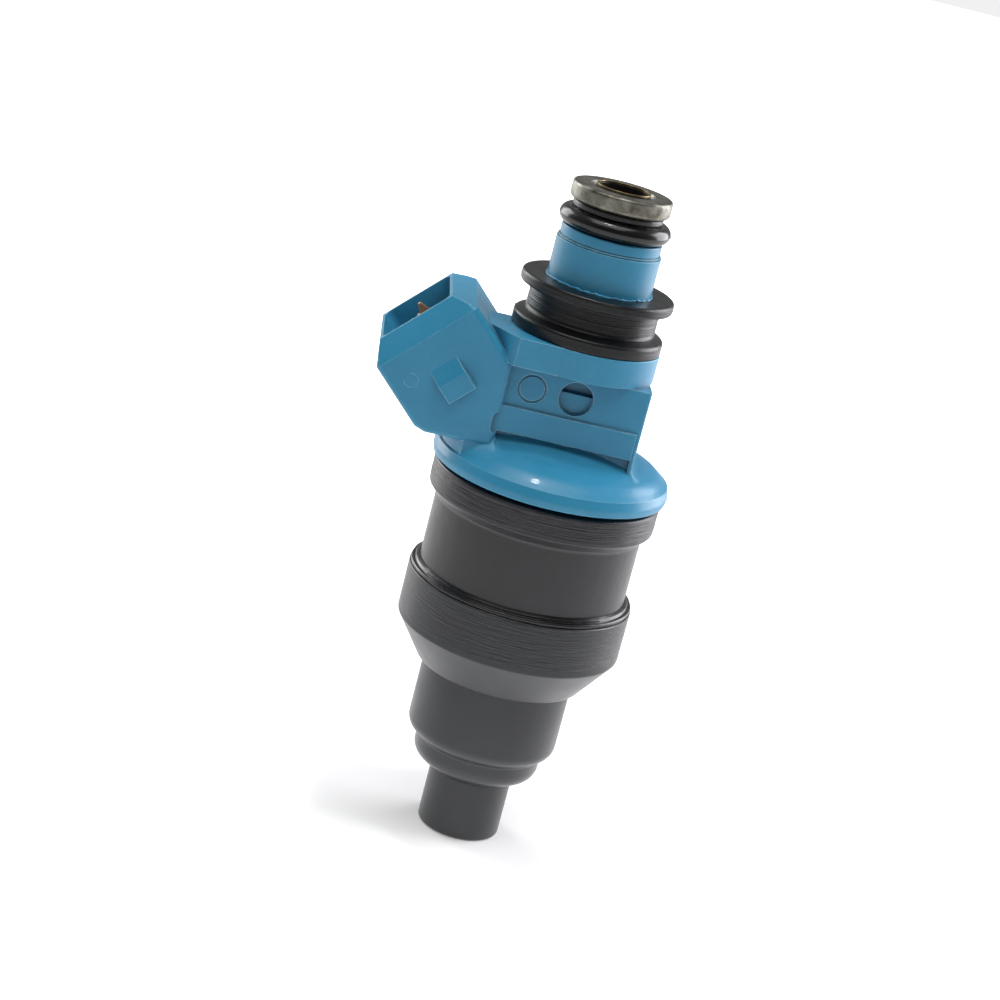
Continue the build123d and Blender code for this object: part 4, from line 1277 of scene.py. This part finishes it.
@dataclass
class Studio:
    """Camera, floor, lights and surroundings."""

    eye: Point = (-0.027396, -0.241736, 0.113593)
    pan: float = -5.452
    tilt: float = 17.434
    roll: float = 14.467
    lens: float = 86.94
    world_front: float = 0.08
    world_back: float = 0.36
    world_span: tuple[float, float] = (-0.2, 0.9)
    world_seen: float = 1.1
    floor_half: float = 1.5
    floor_paint: tuple[float, ...] = (0.9, 0.9, 0.9, 1)
    floor_dull: tuple[float, ...] = (0.85, 0.85, 0.85, 1)
    glow_span: tuple[float, float] = (0.05, 0.16)
    glow: tuple[float, float] = (0.16, 0.9)
    bounce_span: tuple[float, float] = (0.015, 0.050)
    bounce: tuple[float, float] = (0.8, 0.12)
    aim: float = 36.0
    sensor: float = 36.0
    lights: tuple[Softbox, ...] = (
        Softbox("right_panel", 122, 12, 0.45, 0.34, 0.50, 3.0, (0.96, 0.95, 1.0)),
        Softbox("left_panel", -128, 10, 0.50, 0.30, 0.50, 2.2),
        Softbox("key", 60, 64, 0.55, 0.22, 0.22, 0.75, reflects=False),
        Softbox("overhead", -20, 76, 0.55, 0.50, 0.50, 1.65),
        Softbox("near_lamp", -60, 83, 0.60, 0.03, 0.03, 0.5),
    )

    def build(self) -> None:
        """Sets up the whole studio."""
        self.camera()
        self.floor()
        self.surroundings()
        for light in self.lights:
            light.place(self.pan, Vector((0, 0, self.aim * MM)))
        bpy.context.scene.view_settings.view_transform = "Standard"
        LOG.info("studio ready: %d lights", len(self.lights))

    def camera(self) -> None:
        """Places the camera."""
        pan, tilt, roll = (math.radians(a) for a in (self.pan, self.tilt, self.roll))
        ahead = Vector((-math.sin(pan) * math.cos(tilt), math.cos(pan) * math.cos(tilt), -math.sin(tilt)))
        level = Vector((math.cos(pan), math.sin(pan), 0))
        upright = level.cross(ahead)
        right = level * math.cos(roll) + upright * math.sin(roll)
        up = upright * math.cos(roll) - level * math.sin(roll)
        data = bpy.data.cameras.new("camera")
        data.lens, data.sensor_width = self.lens, self.sensor
        data.clip_start, data.clip_end = 0.005, 20.0
        made = new_object("camera", data)
        turn = Matrix((right, up, -ahead)).transposed().to_4x4()
        made.matrix_world = Matrix.Translation(Vector(self.eye)) @ turn
        bpy.context.scene.camera = made

    def floor(self) -> None:
        """Lays the plain pale floor."""
        half = self.floor_half
        mesh = bpy.data.meshes.new("floor")
        mesh.from_pydata([(-half, -half, 0), (half, -half, 0), (half, half, 0), (-half, half, 0)], [],
                         [(0, 1, 2, 3)])
        plane = new_object("floor", mesh)
        mat = bpy.data.materials.new("floor_white")
        w = blank(mat)
        spot = w.add("ShaderNodeTexCoord").outputs["Object"]
        away = w.add("ShaderNodeVectorMath", {"operation": "LENGTH"}, Vector=spot).outputs["Value"]
        bounce = self.glowing(w, away, self.floor_dull, self.bounce_span, self.bounce)
        lit = self.glowing(w, away, self.floor_paint, self.glow_span, self.glow)
        seen = w.add("ShaderNodeLightPath").outputs["Is Camera Ray"]
        mix = w.numbered("ShaderNodeMixShader", seen, bounce, lit)
        w.add("ShaderNodeOutputMaterial", Surface=mix.outputs[0])
        mesh.materials.append(mat)

    @staticmethod
    def glowing(w: Wiring, away: bpy.types.NodeSocket, paint: tuple[float, ...],
                span: tuple[float, float], levels: tuple[float, float]) -> bpy.types.NodeSocket:
        """Matt paint that also glows, by how far it is from the object.

        Args:
            w: the floor's wiring.
            away: distance from the object.
            paint: the paint's colour.
            span: distances between which the glow changes, in metres.
            levels: the glow at those distances.

        Returns:
            The shader.
        """
        change = w.add("ShaderNodeMapRange", {"interpolation_type": "SMOOTHSTEP"}, Value=away,
                       From_Min=span[0], From_Max=span[1], To_Min=levels[0], To_Max=levels[1])
        glow = w.add("ShaderNodeEmission", Strength=change.outputs["Result"])
        matt = w.add("ShaderNodeBsdfDiffuse", Color=paint)
        return w.numbered("ShaderNodeAddShader", matt.outputs[0], glow.outputs[0]).outputs[0]

    def surroundings(self) -> None:
        """Pale room, darker on the camera's side, plain white where it is seen directly."""
        world = bpy.data.worlds.new("studio")
        bpy.context.scene.world = world
        w = blank(world)
        pan = math.radians(self.pan)
        facing = w.numbered("ShaderNodeVectorMath", w.add("ShaderNodeTexCoord").outputs["Generated"],
                            (math.sin(pan), -math.cos(pan), 0.0), operation="DOT_PRODUCT")
        level = w.add("ShaderNodeMapRange", Value=facing.outputs["Value"], From_Min=self.world_span[0],
                      From_Max=self.world_span[1], To_Min=self.world_back, To_Max=self.world_front)
        room = w.add("ShaderNodeBackground", Strength=level.outputs["Result"])
        plain = w.add("ShaderNodeBackground", Strength=self.world_seen)
        seen = w.add("ShaderNodeLightPath").outputs["Is Camera Ray"]
        mix = w.numbered("ShaderNodeMixShader", seen, room.outputs[0], plain.outputs[0])
        w.add("ShaderNodeOutputWorld", Surface=mix.outputs[0])


def main() -> None:
    """Builds every sub-assembly in order, then the studio."""
    logging.basicConfig(level=logging.INFO, format="%(name)s: %(message)s")
    shop = Workshop()
    for kind in (InletEnd, Connector, Spool, MagnetBody, ValveEnd):
        LOG.info("building %s", kind.__name__)
        kind(shop).build()
    Studio().build()


if __name__ == "__main__":
    main()
